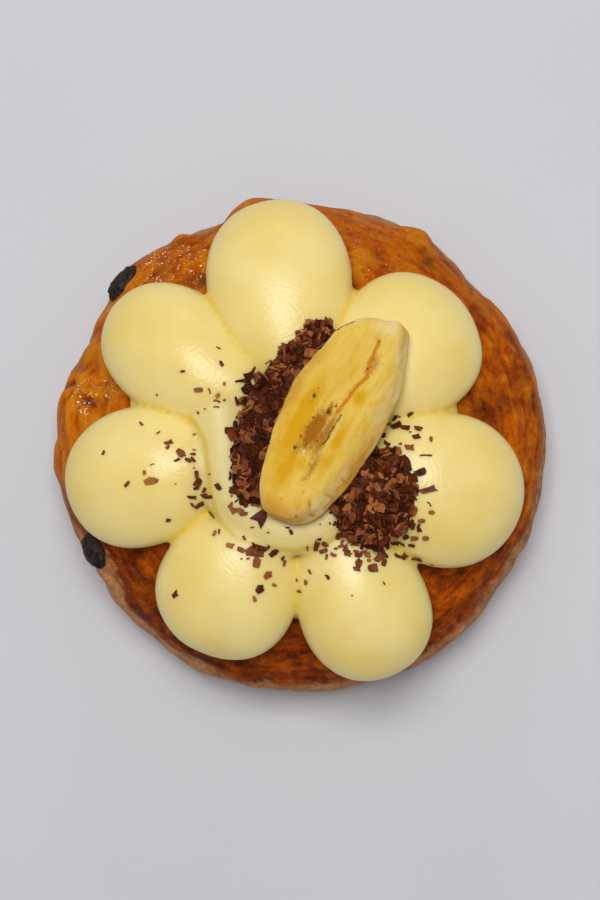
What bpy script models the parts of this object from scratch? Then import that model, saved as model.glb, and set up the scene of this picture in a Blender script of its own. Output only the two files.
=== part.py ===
"""A small round banana bread with a piped cream flower, grated chocolate and a slice of dried banana.

Metres, +Z up. The origin is the centre of the flat base, and +Y points to the largest petal.
The bread is a turned dome with an uneven crust. A flat dollop of cream fills the middle, seven
petals of cream lie round it, two heaps of grated chocolate lie on the dollop, and the banana slice
leans between the heaps. Two raisins show at the edge of the crust.
"""

import math
import random

import bmesh
import bpy
from mathutils import Euler, Matrix, Vector, noise
from mathutils.bvhtree import BVHTree

MM = 0.001
GAP = 0.3 * MM  # clearance between pieces that touch
WELD = 0.01 * MM  # merging distance where a turned outline closes

# Bread: a turned dome whose widest ring lies low on its side.
BREAD_RADIUS = 59.9 * MM
BREAD_HEIGHT = 38.0 * MM
BREAD_WIDEST_Z = 15.0 * MM
BASE_RADIUS = 53.0 * MM
SHOULDER_POWER = 2.7  # 2 is a round shoulder, more is squarer
SIDE_POWER = 2.4
TURN_STEPS = 72
DOME_RINGS = 11
SIDE_RINGS = 5
CRUST_LUMP = 1.1 * MM  # height of the crust's broad lumps
CRUST_LUMP_SIZE = 15.0 * MM
CRUST_CRAG = 0.7 * MM  # height of its small crags
CRUST_CRAG_SIZE = 5.5 * MM
FIRM_HEIGHT = 4.0 * MM  # height over which the unevenness fades towards the flat base

# Swellings and hollows of the crust: angle, height, width, stand-out.
CRUST_SWELLINGS = (
    (61.0, 24.0 * MM, 4.5 * MM, 1.5 * MM),
    (44.0, 20.0 * MM, 11.0 * MM, -1.7 * MM),
    (69.0, 20.0 * MM, 5.5 * MM, -1.6 * MM),
    (101.0, 21.0 * MM, 5.0 * MM, 2.4 * MM),
    (112.0, 20.0 * MM, 5.0 * MM, -2.4 * MM),
    (119.5, 25.0 * MM, 3.0 * MM, 2.4 * MM),
    (130.0, 20.0 * MM, 6.0 * MM, 1.2 * MM),
    (156.0, 20.0 * MM, 6.0 * MM, -1.6 * MM),
    (171.0, 24.0 * MM, 6.0 * MM, 1.2 * MM),
    (-177.0, 18.0 * MM, 6.0 * MM, 0.8 * MM),
    (-148.0, 18.0 * MM, 6.0 * MM, -1.0 * MM),
    (-105.0, 16.0 * MM, 24.0 * MM, 0.7 * MM),
    (-60.0, 16.0 * MM, 22.0 * MM, 1.2 * MM),
    (-12.0, 16.0 * MM, 12.0 * MM, 0.8 * MM),
)

# Raisins in the crust: name, angle, distance from the axis, height, length, width.
RAISINS = (
    ("raisin_upper", 137.3, 57.9 * MM, 24.0 * MM, 10.8 * MM, 6.4 * MM),
    ("raisin_lower", -152.2, 55.7 * MM, 26.5 * MM, 9.2 * MM, 6.4 * MM),
)
RAISIN_LEAN = 20.0  # degrees by which a raisin follows the shoulder of the bread
RAISIN_WRINKLE = 0.13
RAISIN_WRINKLE_SIZE = 1.9 * MM

# Cream petals: name, angle, outer reach from the axis, length, width, height, taper to the middle.
PETALS = (
    ("petal_top", 96.0, 57.6 * MM, 47.5 * MM, 34.2 * MM, 23.0 * MM, 0.36),
    ("petal_upper_right", 39.5, 50.6 * MM, 40.0 * MM, 34.5 * MM, 22.0 * MM, 0.45),
    ("petal_right", -18.8, 55.5 * MM, 42.5 * MM, 36.0 * MM, 23.0 * MM, 0.26),
    ("petal_lower_right", -68.0, 59.9 * MM, 41.0 * MM, 30.7 * MM, 22.0 * MM, 0.37),
    ("petal_lower_left", -114.5, 54.8 * MM, 38.0 * MM, 33.4 * MM, 22.0 * MM, 0.35),
    ("petal_left", -166.5, 55.9 * MM, 40.0 * MM, 33.3 * MM, 22.5 * MM, 0.16),
    ("petal_upper_left", 144.0, 53.9 * MM, 45.5 * MM, 29.2 * MM, 22.0 * MM, 0.45),
)
PETAL_LIFT = 5.7 * MM  # of a petal's middle above the bread
PETAL_DROOP = 15.0  # degrees by which its outer end hangs down
PETAL_SEGMENTS = 20
PETAL_RINGS = 15

# The dollop of cream in the middle, with a rolled edge round a shallow dip.
DOLLOP_CENTRE = Vector((-1.6 * MM, -6.6 * MM, 40.0 * MM))
DOLLOP_RADIUS = 19.8 * MM
DOLLOP_HEIGHT = 13.0 * MM
DOLLOP_ROLL = 4.2 * MM  # radius of the rolled edge
DOLLOP_ROLL_TURN = (130.0, -35.0)  # degrees from its inner end to its outer end, over the top
DOLLOP_ROLL_STEPS = 6
DOLLOP_FOOT_RADIUS = 27.0 * MM  # of the cream that spreads between the tails of the petals
DOLLOP_FOOT_HEIGHT = 7.0 * MM
DOLLOP_ROOT = 6.5 * MM  # depth to which it is carried down, to meet the bread
DOLLOP_TURN_STEPS = 32

# The banana slice: an oval cut across a dried banana at a slant.
SLICE_LENGTH = 50.4 * MM
SLICE_WIDTH = 19.5 * MM
SLICE_THICKNESS = 6.5 * MM
SLICE_OVAL_POWER = 2.4

# Where its outline stands out from the plain oval: degrees from its long axis, width, share.
SLICE_LOBES = (
    (-84.0, 22.0, 0.03),
    (-21.0, 14.0, 0.09),
    (50.0, 11.0, 0.04),
    (83.0, 28.0, 0.14),
    (162.0, 13.0, 0.04),
)
SLICE_SLANT = Vector((-1.0 * MM, -2.6 * MM))  # shift of the lower face, along and across the slice
SLICE_RIM_ROUNDING = 1.6 * MM
SLICE_HOLLOW = 1.5 * MM  # depth of the sunken seed core along the middle
SLICE_HOLLOW_WIDTH = 3.0 * MM
SLICE_HOLLOW_LENGTH = 38.0 * MM
SLICE_WAVE = 0.5 * MM
SLICE_WAVE_SIZE = 9.0 * MM
SLICE_TURN_STEPS = 36
SLICE_CENTRE = Vector((8.6 * MM, 4.2 * MM, 57.4 * MM))
SLICE_ANGLE = 60.1  # of its long axis from +X
SLICE_PITCH = 1.5  # degrees by which its upper end is raised
SLICE_ROLL = 8.0  # degrees by which its right edge is raised

# Heaps of grated chocolate: name, middle, length, width, height, angle, number of flakes.
LEFT_HEAP = Vector((-1.3 * MM, 5.2 * MM, 51.0 * MM))
RIGHT_HEAP = Vector((18.8 * MM, -14.8 * MM, 50.5 * MM))
HEAPS = (
    ("chocolate_left", LEFT_HEAP, 47.0 * MM, 18.0 * MM, 12.0 * MM, 64.0, 40),
    ("chocolate_right", RIGHT_HEAP, 26.0 * MM, 18.5 * MM, 14.0 * MM, 72.0, 36),
)
HEAP_ROUGHNESS = 1.6 * MM
HEAP_ROUGHNESS_SIZE = 4.0 * MM
HEAP_SEGMENTS = 18
HEAP_RINGS = 8

# Chocolate flakes: thin plates with few sides.
FLAKE_SIDES = 4
FLAKE_THICKNESS = 0.7 * MM
FLAKE_SINK = 0.1 * MM
FLAKE_CLEARANCE = 0.45 * MM  # from a loose flake to the nearest other piece
HEAP_FLAKE_RADIUS = (0.85 * MM, 1.5 * MM)
HEAP_FLAKE_TILT = 0.7
LOOSE_FLAKE_RADIUS = (0.6 * MM, 1.15 * MM)
LOOSE_FLAKE_TILT = 0.1

# Loose flakes on the cream, in clusters: middle x, y, spread, number.
LOOSE_CLUSTERS = (
    (-23.5 * MM, -7.5 * MM, 6.0 * MM, 9),
    (-31.0 * MM, -6.0 * MM, 9.0 * MM, 4),
    (-18.5 * MM, 12.0 * MM, 6.0 * MM, 7),
    (-8.0 * MM, -28.5 * MM, 5.0 * MM, 7),
    (-6.5 * MM, -34.5 * MM, 5.0 * MM, 5),
    (-27.8 * MM, -36.3 * MM, 0.5 * MM, 1),
    (3.5 * MM, -33.0 * MM, 4.0 * MM, 4),
    (17.0 * MM, -30.5 * MM, 7.0 * MM, 9),
    (29.0 * MM, 1.0 * MM, 5.0 * MM, 6),
    (31.5 * MM, -10.0 * MM, 5.0 * MM, 5),
    (31.5 * MM, -19.5 * MM, 5.0 * MM, 5),
    (-14.5 * MM, -15.0 * MM, 5.0 * MM, 5),
)

SEED = 7
ABOVE_ALL = 100.0 * MM  # a height over the whole object
GOLDEN_TURN = math.pi * (3.0 - math.sqrt(5.0))
SHARP_ANGLE = math.radians(50.0)

# Colour and roughness of each material.
FINISHES = {
    "crust": ((0.38, 0.115, 0.016), 0.42),
    "raisin": ((0.018, 0.010, 0.008), 0.45),
    "cream": ((0.86, 0.72, 0.36), 0.36),
    "chocolate": ((0.085, 0.024, 0.010), 0.60),
    "banana": ((0.70, 0.45, 0.12), 0.45),
}


# ---------------------------------------------------------------- ways of working


def clear_scene():
    for obj in list(bpy.data.objects):
        bpy.data.objects.remove(obj, do_unlink=True)


def new_collection(name):
    collection = bpy.data.collections.new(name)
    bpy.context.scene.collection.children.link(collection)
    return collection


def make_finish(name):
    colour, roughness = FINISHES[name]
    material = bpy.data.materials.new(name)
    material.use_nodes = True
    shader = material.node_tree.nodes["Principled BSDF"]
    shader.inputs["Base Color"].default_value = (*colour, 1.0)
    shader.inputs["Roughness"].default_value = roughness
    shader.inputs["Metallic"].default_value = 0.0
    return material


def give_finish(obj, finish):
    obj.data.materials.clear()
    obj.data.materials.append(finish)
    obj.data.shade_smooth()
    obj.data.set_sharp_from_angle(angle=SHARP_ANGLE)


def adopt(obj, name, collection):
    """Names a new primitive and puts it in the collection, and nowhere else."""
    obj.name = name
    for old in list(obj.users_collection):
        old.objects.unlink(obj)
    collection.objects.link(obj)
    return obj


def settle(obj):
    """Applies the object's modifiers and its place, so that its mesh is what is seen."""
    bpy.context.view_layer.update()
    graph = bpy.context.evaluated_depsgraph_get()
    mesh = bpy.data.meshes.new_from_object(obj.evaluated_get(graph))
    mesh.transform(obj.matrix_world)
    obj.modifiers.clear()
    obj.data = mesh
    obj.matrix_world = Matrix.Identity(4)


def turned(name, profile, steps, collection):
    """Turns an outline at +X, given from the top middle to the bottom middle, about the Z axis."""
    mesh = bpy.data.meshes.new(name)
    edges = [(i, i + 1) for i in range(len(profile) - 1)]
    mesh.from_pydata([(radius, 0.0, height) for radius, height in profile], edges, [])
    obj = bpy.data.objects.new(name, mesh)
    collection.objects.link(obj)
    turn = obj.modifiers.new("turn", "SCREW")
    turn.steps = turn.render_steps = steps
    turn.use_merge_vertices = True
    turn.merge_threshold = WELD
    settle(obj)
    return obj


def move_points(obj, rule):
    """Moves each point to where the rule puts it, and splits the faces, which are no longer flat."""
    mesh = bmesh.new()
    mesh.from_mesh(obj.data)
    for vertex in mesh.verts:
        vertex.co = rule(vertex.co)
    bmesh.ops.triangulate(mesh, faces=mesh.faces)
    mesh.to_mesh(obj.data)
    mesh.free()


def keep_largest(obj):
    """Drops the loose scraps that a cut leaves beside the main body."""
    mesh = bmesh.new()
    mesh.from_mesh(obj.data)
    unseen = set(mesh.verts)
    bodies = []
    while unseen:
        front = [unseen.pop()]
        body = set(front)
        while front:
            for edge in front.pop().link_edges:
                for vertex in edge.verts:
                    if vertex in unseen:
                        unseen.remove(vertex)
                        body.add(vertex)
                        front.append(vertex)
        bodies.append(body)
    bodies.sort(key=len)
    for scrap in bodies[:-1]:
        bmesh.ops.delete(mesh, geom=list(scrap), context="VERTS")
    mesh.to_mesh(obj.data)
    mesh.free()


def leave_room_for(obj, cutters):
    """Adds a copy of the piece, grown by the gap all over, to what cuts its neighbours."""
    mesh = bmesh.new()
    mesh.from_mesh(obj.data)
    mesh.normal_update()
    for vertex, normal in [(v, v.normal.copy()) for v in mesh.verts]:
        vertex.co += normal * GAP
    grown = bpy.data.meshes.new("room for " + obj.name)
    mesh.to_mesh(grown)
    mesh.free()
    cutter = bpy.data.objects.new(grown.name, grown)
    cutter.hide_render = True
    cutter.display_type = "WIRE"
    cutters.objects.link(cutter)


def cut(obj, cutters):
    """Cuts away what lies within any of the cutters."""
    boolean = obj.modifiers.new("cut", "BOOLEAN")
    boolean.operation = "DIFFERENCE"
    boolean.solver = "EXACT"
    boolean.operand_type = "COLLECTION"
    boolean.collection = cutters
    settle(obj)
    keep_largest(obj)


def fuse(obj, collection):
    """Joins everything in the collection to the object, and removes the collection."""
    if collection.objects:
        boolean = obj.modifiers.new("fuse", "BOOLEAN")
        boolean.operation = "UNION"
        boolean.solver = "EXACT"
        boolean.operand_type = "COLLECTION"
        boolean.collection = collection
        settle(obj)
        keep_largest(obj)
    for joined in list(collection.objects):
        bpy.data.objects.remove(joined, do_unlink=True)
    bpy.data.collections.remove(collection)


def surface_of(obj):
    points = [vertex.co for vertex in obj.data.vertices]
    return BVHTree.FromPolygons(points, [face.vertices[:] for face in obj.data.polygons])


def around(radius, angle, height):
    """The point at this distance from the axis, angle from +X in degrees, and height."""
    turn = math.radians(angle)
    return Vector((radius * math.cos(turn), radius * math.sin(turn), height))


# ---------------------------------------------------------------- bread


def dome_height(radius):
    """Height of the smooth dome at this distance from the axis."""
    share = min(radius / BREAD_RADIUS, 1.0) ** SHOULDER_POWER
    return BREAD_WIDEST_Z + (BREAD_HEIGHT - BREAD_WIDEST_Z) * (1.0 - share) ** (1.0 / SHOULDER_POWER)


def bread_profile():
    points = []
    for i in range(DOME_RINGS + 1):
        radius = BREAD_RADIUS * math.sin(math.pi / 2 * i / DOME_RINGS)
        points.append((radius, dome_height(radius)))
    for i in range(1, SIDE_RINGS + 1):
        turn = math.pi / 2 * i / SIDE_RINGS
        radius = BASE_RADIUS + (BREAD_RADIUS - BASE_RADIUS) * math.cos(turn) ** (2 / SIDE_POWER)
        points.append((radius, BREAD_WIDEST_Z * (1.0 - math.sin(turn) ** (2 / SIDE_POWER))))
    points.append((0.0, 0.0))
    return points


def crust(point):
    """Where the uneven crust lies for a point of the smooth turned shape. The base stays flat."""
    outward = Vector((point.x, point.y, 0.0)) / BREAD_RADIUS
    outward.z = max(0.0, (point.z - BREAD_WIDEST_Z) / (BREAD_HEIGHT - BREAD_WIDEST_Z))
    if outward.length < 1e-6:
        return point.copy()
    lump = noise.noise(point / CRUST_LUMP_SIZE) * CRUST_LUMP
    crag = noise.noise(point / CRUST_CRAG_SIZE + Vector((9.0, 4.0, 2.0))) * CRUST_CRAG
    swelling = 0.0
    for angle, height, width, amount in CRUST_SWELLINGS:
        near = (point - around(BREAD_RADIUS, angle, height)).length / width
        swelling += amount * math.exp(-near * near)
    firm = min(1.0, point.z / FIRM_HEIGHT)
    return point + outward.normalized() * (lump + crag + swelling) * firm


def make_bread(parts):
    bread = turned("bread", bread_profile(), TURN_STEPS, parts)
    move_points(bread, crust)
    return bread


def make_raisin(name, angle, radius, height, length, width, parts):
    """A dried raisin: a wrinkled bean that lies along the crust."""
    bpy.ops.mesh.primitive_ico_sphere_add(subdivisions=2, radius=0.5)
    raisin = adopt(bpy.context.object, name, parts)
    centre = around(radius, angle, height)
    raisin.scale = (width, length, width * 0.85)
    raisin.rotation_euler = (0.0, math.radians(RAISIN_LEAN), math.radians(angle))
    raisin.location = centre
    settle(raisin)

    def wrinkle(point):
        fold = noise.noise(point / RAISIN_WRINKLE_SIZE) * RAISIN_WRINKLE
        return centre + (point - centre) * (1.0 + fold)

    move_points(raisin, wrinkle)
    return raisin


# ---------------------------------------------------------------- cream


def make_petal(name, angle, reach, length, width, height, taper, parts):
    """One squeeze of the piping bag: a round bulb at the outer end, drawn out towards the middle."""
    bpy.ops.mesh.primitive_uv_sphere_add(
        segments=PETAL_SEGMENTS, ring_count=PETAL_RINGS, radius=0.5, rotation=(0.0, math.radians(90.0), 0.0)
    )
    petal = adopt(bpy.context.object, name, parts)
    settle(petal)
    petal.scale = (length, width, height)
    settle(petal)
    drawn_out = petal.modifiers.new("drawn out", "SIMPLE_DEFORM")
    drawn_out.deform_method = "TAPER"
    drawn_out.deform_axis = "X"
    drawn_out.factor = taper
    settle(petal)
    droop = math.radians(PETAL_DROOP)
    middle = reach - length / 2 * math.cos(droop)
    petal.rotation_euler = Euler((0.0, droop, math.radians(angle)))
    petal.location = around(middle, angle, dome_height(middle) + PETAL_LIFT)
    settle(petal)
    return petal


def make_dollop(parts):
    """The round dollop that fills the middle: a rolled edge round a dip, and a foot round the edge."""
    first, last = DOLLOP_ROLL_TURN
    roll = []
    for i in range(DOLLOP_ROLL_STEPS + 1):
        turn = math.radians(first + (last - first) * i / DOLLOP_ROLL_STEPS)
        radius = DOLLOP_RADIUS - DOLLOP_ROLL * (1.0 - math.cos(turn))
        roll.append((radius, DOLLOP_HEIGHT - DOLLOP_ROLL * (1.0 - math.sin(turn))))
    foot = [(DOLLOP_FOOT_RADIUS, DOLLOP_FOOT_HEIGHT), (DOLLOP_FOOT_RADIUS, -DOLLOP_ROOT)]
    profile = [(0.0, roll[0][1])] + roll + foot + [(0.0, -DOLLOP_ROOT)]
    dollop = turned("cream_dollop", profile, DOLLOP_TURN_STEPS, parts)
    dollop.location = DOLLOP_CENTRE
    settle(dollop)
    return dollop


# ---------------------------------------------------------------- banana slice


def slice_profile():
    """Half outline of a round slice of radius 1."""
    half = SLICE_THICKNESS / 2
    rounding = SLICE_RIM_ROUNDING / (SLICE_WIDTH / 2)
    points = [(radius, half) for radius in (0.0, 0.12, 0.25, 0.42, 0.6)]
    for i in range(4):
        turn = math.pi / 2 * i / 3
        radius = 1.0 - rounding + rounding * math.sin(turn)
        points.append((radius, half - SLICE_RIM_ROUNDING * (1.0 - math.cos(turn))))
    points.append((1.0 - rounding * 0.3, -half + SLICE_RIM_ROUNDING * 0.3))
    points.append((1.0 - rounding, -half))
    points.append((0.0, -half))
    return points


def slice_lobes(turn):
    """How far the outline reaches in this direction, as a share of the plain oval."""
    reach = 1.0
    for angle, width, share in SLICE_LOBES:
        away = (math.degrees(turn) - angle + 180.0) % 360.0 - 180.0
        reach *= 1.0 + share * math.exp(-((away / width) ** 2))
    return reach


def slice_shape(point):
    """Turns the round slice into the slanted oval, with its sunken core and dried, wavy rim."""
    radius = math.hypot(point.x, point.y)
    turn = math.atan2(point.y, point.x)
    corner = abs(math.cos(turn)) ** SLICE_OVAL_POWER + abs(math.sin(turn)) ** SLICE_OVAL_POWER
    reach = radius * corner ** (-1 / SLICE_OVAL_POWER) * slice_lobes(turn)
    x = reach * math.cos(turn) * SLICE_LENGTH / 2
    y = reach * math.sin(turn) * SLICE_WIDTH / 2
    z = point.z
    depth = 0.5 - point.z / SLICE_THICKNESS
    if depth < 0.05:
        across = y / SLICE_HOLLOW_WIDTH
        along = x / (SLICE_HOLLOW_LENGTH / 2)
        z -= SLICE_HOLLOW * math.exp(-across * across - along**4)
    wave = noise.noise(Vector((x, y, 0.0)) / SLICE_WAVE_SIZE) * SLICE_WAVE * radius
    return Vector((x + SLICE_SLANT.x * depth, y + SLICE_SLANT.y * depth + wave, z + wave))


def make_slice(parts):
    banana = turned("banana_slice", slice_profile(), SLICE_TURN_STEPS, parts)
    move_points(banana, slice_shape)
    banana.rotation_euler = Euler(
        (math.radians(-SLICE_ROLL), math.radians(-SLICE_PITCH), math.radians(SLICE_ANGLE))
    )
    banana.location = SLICE_CENTRE
    settle(banana)
    return banana


# ---------------------------------------------------------------- chocolate


def make_heap(name, middle, length, width, height, angle, parts):
    """The core of a heap: a low mound with an uneven outline."""
    bpy.ops.mesh.primitive_uv_sphere_add(segments=HEAP_SEGMENTS, ring_count=HEAP_RINGS, radius=0.5)
    heap = adopt(bpy.context.object, name, parts)
    heap.scale = (length, width, height)
    heap.rotation_euler = (0.0, 0.0, math.radians(angle))
    heap.location = middle
    settle(heap)

    def roughen(point):
        rise = noise.noise(point / HEAP_ROUGHNESS_SIZE) * HEAP_ROUGHNESS
        return point + (point - middle).normalized() * rise

    move_points(heap, roughen)
    return heap


def add_flake(rng, place, facing, radius, collection):
    """A thin plate with few uneven sides."""
    bpy.ops.mesh.primitive_cylinder_add(vertices=FLAKE_SIDES, radius=radius, depth=FLAKE_THICKNESS)
    flake = adopt(bpy.context.object, "flake", collection)
    flake.scale = (1.0, rng.uniform(0.55, 0.95), 1.0)
    lie = facing.to_track_quat("Z", "Y").to_matrix().to_4x4()
    turn = Matrix.Rotation(rng.uniform(0.0, math.tau), 4, "Z")
    flake.matrix_world = Matrix.Translation(place) @ lie @ turn @ flake.matrix_basis
    settle(flake)


def strew(rng, obj, spots, radii, tilt, others):
    """Fuses a flake to the object's upper side at each spot that is clear of the other pieces."""
    surface = surface_of(obj)
    neighbours = [surface_of(other) for other in others]
    flakes = new_collection("flakes on " + obj.name)
    up = Vector((0.0, 0.0, 1.0))
    for x, y in spots:
        radius = rng.uniform(*radii)
        lean = Vector((rng.gauss(0.0, tilt), rng.gauss(0.0, tilt), 0.0))
        place, normal, _, _ = surface.ray_cast(Vector((x, y, ABOVE_ALL)), -up)
        if place is None:
            continue
        clear = radius + FLAKE_CLEARANCE
        if any(tree.find_nearest(place, clear)[0] is not None for tree in neighbours):
            continue
        if any(tree.ray_cast(place, up)[0] is not None for tree in neighbours):
            continue
        add_flake(rng, place + normal * FLAKE_SINK, (normal + lean).normalized(), radius, flakes)
    fuse(obj, flakes)


def heap_spots(rng, middle, length, width, angle, number):
    """Spots spread evenly over an oval by the sunflower rule, a little shaken."""
    turn = Matrix.Rotation(math.radians(angle), 2)
    for i in range(number):
        share = math.sqrt((i + 0.5) / number)
        bearing = i * GOLDEN_TURN + rng.uniform(-0.3, 0.3)
        spot = turn @ Vector((math.cos(bearing) * length / 2, math.sin(bearing) * width / 2)) * share
        yield middle.x + spot.x, middle.y + spot.y


def loose_spots(rng):
    for x, y, spread, number in LOOSE_CLUSTERS:
        for _ in range(number):
            yield rng.gauss(x, spread / 2), rng.gauss(y, spread / 2)


# ---------------------------------------------------------------- the whole


def main():
    clear_scene()
    rng = random.Random(SEED)
    parts = new_collection("banana_bread")
    cutters = new_collection("cutters")

    raisins = [make_raisin(*row, parts) for row in RAISINS]
    bread = make_bread(parts)
    banana = make_slice(parts)
    dollop = make_dollop(parts)
    petals = [make_petal(*row, parts) for row in PETALS]
    heaps = [make_heap(*row[:-1], parts) for row in HEAPS]
    cream = [dollop] + petals

    # Each piece is cut by all before it, so it lies against them. Its own flakes come first.
    whole = [piece.data.copy() for piece in cream]
    for heap, (_, middle, length, width, _, angle, number) in zip(heaps, HEAPS):
        spots = heap_spots(rng, middle, length, width, angle, number)
        strew(rng, heap, spots, HEAP_FLAKE_RADIUS, HEAP_FLAKE_TILT, [])
    spots = list(loose_spots(rng))
    others = {piece: [o for o in [bread, banana] + cream + heaps if o is not piece] for piece in cream}
    for piece in cream:
        strew(rng, piece, spots, LOOSE_FLAKE_RADIUS, LOOSE_FLAKE_TILT, others[piece])

    for raisin in raisins:
        leave_room_for(raisin, cutters)
    cut(bread, cutters)
    leave_room_for(bread, cutters)
    leave_room_for(banana, cutters)
    for piece, plain in zip(cream, whole):
        cut(piece, cutters)
        flaked = piece.data
        piece.data = plain
        leave_room_for(piece, cutters)
        piece.data = flaked
    for heap in heaps:
        cut(heap, cutters)

    finish = {name: make_finish(name) for name in FINISHES}
    give_finish(bread, finish["crust"])
    give_finish(banana, finish["banana"])
    for raisin in raisins:
        give_finish(raisin, finish["raisin"])
    for piece in cream:
        give_finish(piece, finish["cream"])
    for heap in heaps:
        give_finish(heap, finish["chocolate"])


if __name__ == "__main__":
    main()
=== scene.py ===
import math
import random

import bpy
import numpy as np
from mathutils import Euler, Matrix, Vector, noise
from mathutils.bvhtree import BVHTree


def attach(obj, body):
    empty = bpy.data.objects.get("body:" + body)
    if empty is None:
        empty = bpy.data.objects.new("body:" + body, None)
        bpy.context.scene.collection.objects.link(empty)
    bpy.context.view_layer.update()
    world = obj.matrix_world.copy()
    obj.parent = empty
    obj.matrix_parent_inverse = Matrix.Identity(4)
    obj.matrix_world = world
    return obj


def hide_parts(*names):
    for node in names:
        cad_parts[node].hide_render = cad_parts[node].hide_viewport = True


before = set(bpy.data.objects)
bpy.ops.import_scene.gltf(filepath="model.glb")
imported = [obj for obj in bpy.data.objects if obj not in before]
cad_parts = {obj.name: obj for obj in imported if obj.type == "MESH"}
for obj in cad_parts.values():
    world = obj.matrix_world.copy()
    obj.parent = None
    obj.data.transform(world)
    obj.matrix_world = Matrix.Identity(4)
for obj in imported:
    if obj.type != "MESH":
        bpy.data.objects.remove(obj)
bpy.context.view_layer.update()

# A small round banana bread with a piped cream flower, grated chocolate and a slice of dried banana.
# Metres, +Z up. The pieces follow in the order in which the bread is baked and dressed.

# ================================================================ the bread
# A round banana bread, baked until its top is orange-brown, wrinkled and glossy with glaze. Its side
# stood against the tin, so it is paler, matt and ribbed. The crumb swelled unevenly as it baked.

MM = 0.001
BREAD_RADIUS = 59.9 * MM
BREAD_HEIGHT = 38.0 * MM
BREAD_WIDEST_Z = 15.0 * MM
BASE_RADIUS = 53.0 * MM
SHOULDER_POWER = 2.7  # 2 is a round shoulder, more is squarer
SIDE_POWER = 2.4
HIDDEN_RADIUS = 24.0 * MM  # the crust within it lies under the cream
HIDDEN_RINGS = 5
DOME_RINGS = 84
SIDE_RINGS = 26
TURN_STEPS = 540
# How strongly the hollows of the crust are darkened in its colour: painted shade.
HOLLOW_STRENGTH = 4.0
CRUST_LUMP = 1.1 * MM
CRUST_LUMP_SIZE = 15.0 * MM
CRUST_CRAG = 0.7 * MM
CRUST_CRAG_SIZE = 5.5 * MM
CRUST_WRINKLE = 0.45 * MM  # height of the wrinkles of the glazed skin
CRUST_WRINKLE_SIZE = 4.2 * MM
CRUST_PATCH_SIZE = 13.0 * MM  # of the patches where the skin wrinkled most
FIRM_HEIGHT = 4.0 * MM  # below it the crust flattens out towards its base
CRUST_SEED = 4  # of the random shift in the wrinkles and swells, so that every run gives the same bread
noise.seed_set(CRUST_SEED)


def sized(rows, start, end):
    """The rows, with the numbers from start up to end turned from millimetres into metres."""
    return [(*row[:start], *(number * MM for number in row[start:end]), *row[end:]) for row in rows]


# Swellings and hollows of the crust: angle, height, width, stand-out.
CRUST_SWELLINGS = sized((
    (61.0, 24.0, 4.5, 1.5), (44.0, 20.0, 11.0, -1.7), (69.0, 20.0, 5.5, -1.6), (101.0, 21.0, 5.0, 2.4),
    (112.0, 20.0, 5.0, -2.4), (119.5, 25.0, 3.0, 2.4), (130.0, 20.0, 6.0, 1.2), (156.0, 20.0, 6.0, -1.6),
    (171.0, 24.0, 6.0, 1.2), (-177.0, 18.0, 6.0, 0.8), (-148.0, 18.0, 6.0, -1.0), (-105.0, 16.0, 24.0, 0.7),
    (-60.0, 16.0, 22.0, 1.2), (-12.0, 16.0, 12.0, 0.8),
), 1, 4)

# Patches where the skin rose in folds: angle, height, width, depth of the folds.
CRUST_FOLDS = sized((
    (167.0, 29.0, 12.0, 1.8), (124.0, 31.0, 6.0, 0.8), (8.0, 32.0, 8.0, 0.9),
), 1, 4)
CRUST_FOLD_SIZE = 5.2 * MM
CRUST_FOLD_REACH = 0.95 * BREAD_RADIUS  # distance from the axis of the middle of each patch

# Sunken dark spots in the notches by the cream and beside the lower raisin, partly the dark crumb showing and
# partly painted shade: x, y, width and darkness.
CRUST_DARK_SPOTS = sized((
    (30.2, 46.6, 1.8, 0.8), (31.6, 44.0, 2.2, 0.9), (-22.8, 39.4, 2.4, 1.0), (-26.0, 38.6, 1.8, 0.7),
    (13.5, 38.0, 1.8, 0.7), (40.5, 12.5, 1.8, 0.8), (-51.0, -27.0, 2.5, 0.7),
), 0, 3)
DARK_SPOT_DEPTH = 0.9 * MM

# Patches where the glaze set in fine crinkles that glint: x, y, width.
GLINT_PATCHES = sized((
    (-31.0, 41.5, 8.0), (-24.5, 44.0, 4.0), (17.5, 45.0, 8.5), (24.0, 40.0, 6.0), (45.5, 8.0, 6.0),
    (-51.0, 11.0, 3.6), (-45.5, 12.5, 3.0),
), 0, 3)

DROP_SIZE = 0.8 * MM  # of the drops of glaze
DROP_LEAN = (-0.5, -0.42, 0.6)  # the way in which the drops face, before each is tilted a little

# Colours, as linear red, green and blue.
CRUST_DARK = (0.085, 0.014, 0.003)
CRUST_BROWN = (0.260, 0.042, 0.002)
CRUST_ORANGE = (0.490, 0.096, 0.001)
CRUST_GOLD = (0.640, 0.200, 0.004)
CRUST_AMBER = (0.430, 0.160, 0.004)
CRUST_SHINE = (1.0, 0.62, 0.28)
CRUMB_AND_SHADE_BROWN = (0.110, 0.046, 0.008)
SIDE_BROWN = (0.280, 0.098, 0.026)
SIDE_PALE = (0.620, 0.285, 0.120)

# How much lighter than the rest the crust is, in hundredths, by angle: darkest on the lower side, which faces
# away from the lamps, partly from baking and partly painted shade.
CRUST_BAKE_AND_SHADE = (
    (-180, 8), (-165, -4), (-150, -15), (-128, -18), (-110, -16), (-90, -16), (-60, -14), (-30, -9), (0, -5),
    (20, -3), (70, 3), (130, 3), (165, 10), (180, 8),
)

# Height in millimetres at which the glaze ends on the side, by angle.
GLAZE_ENDS = (
    (-180, 19.5), (-162, 20), (-156, 26), (-151, 28), (-142, 27.5), (-133, 23.5), (-118, 23.5), (-105, 24),
    (-90, 24.5), (-60, 24.5), (-30, 24), (0, 23), (16, 22), (34, 21), (150, 20.5), (180, 19.5),
)
GLAZE_FADE = 2.0 * MM  # height over which the glaze thins out
GLAZE_LIMIT = 3.0  # the mark of the glaze stops at this many times that height, above and below

# How much paler than the rest the side was baked, in hundredths, by angle.
SIDE_BAKE = ((-152, 0), (-135, 8), (-118, 12), (-104, 0))


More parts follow.
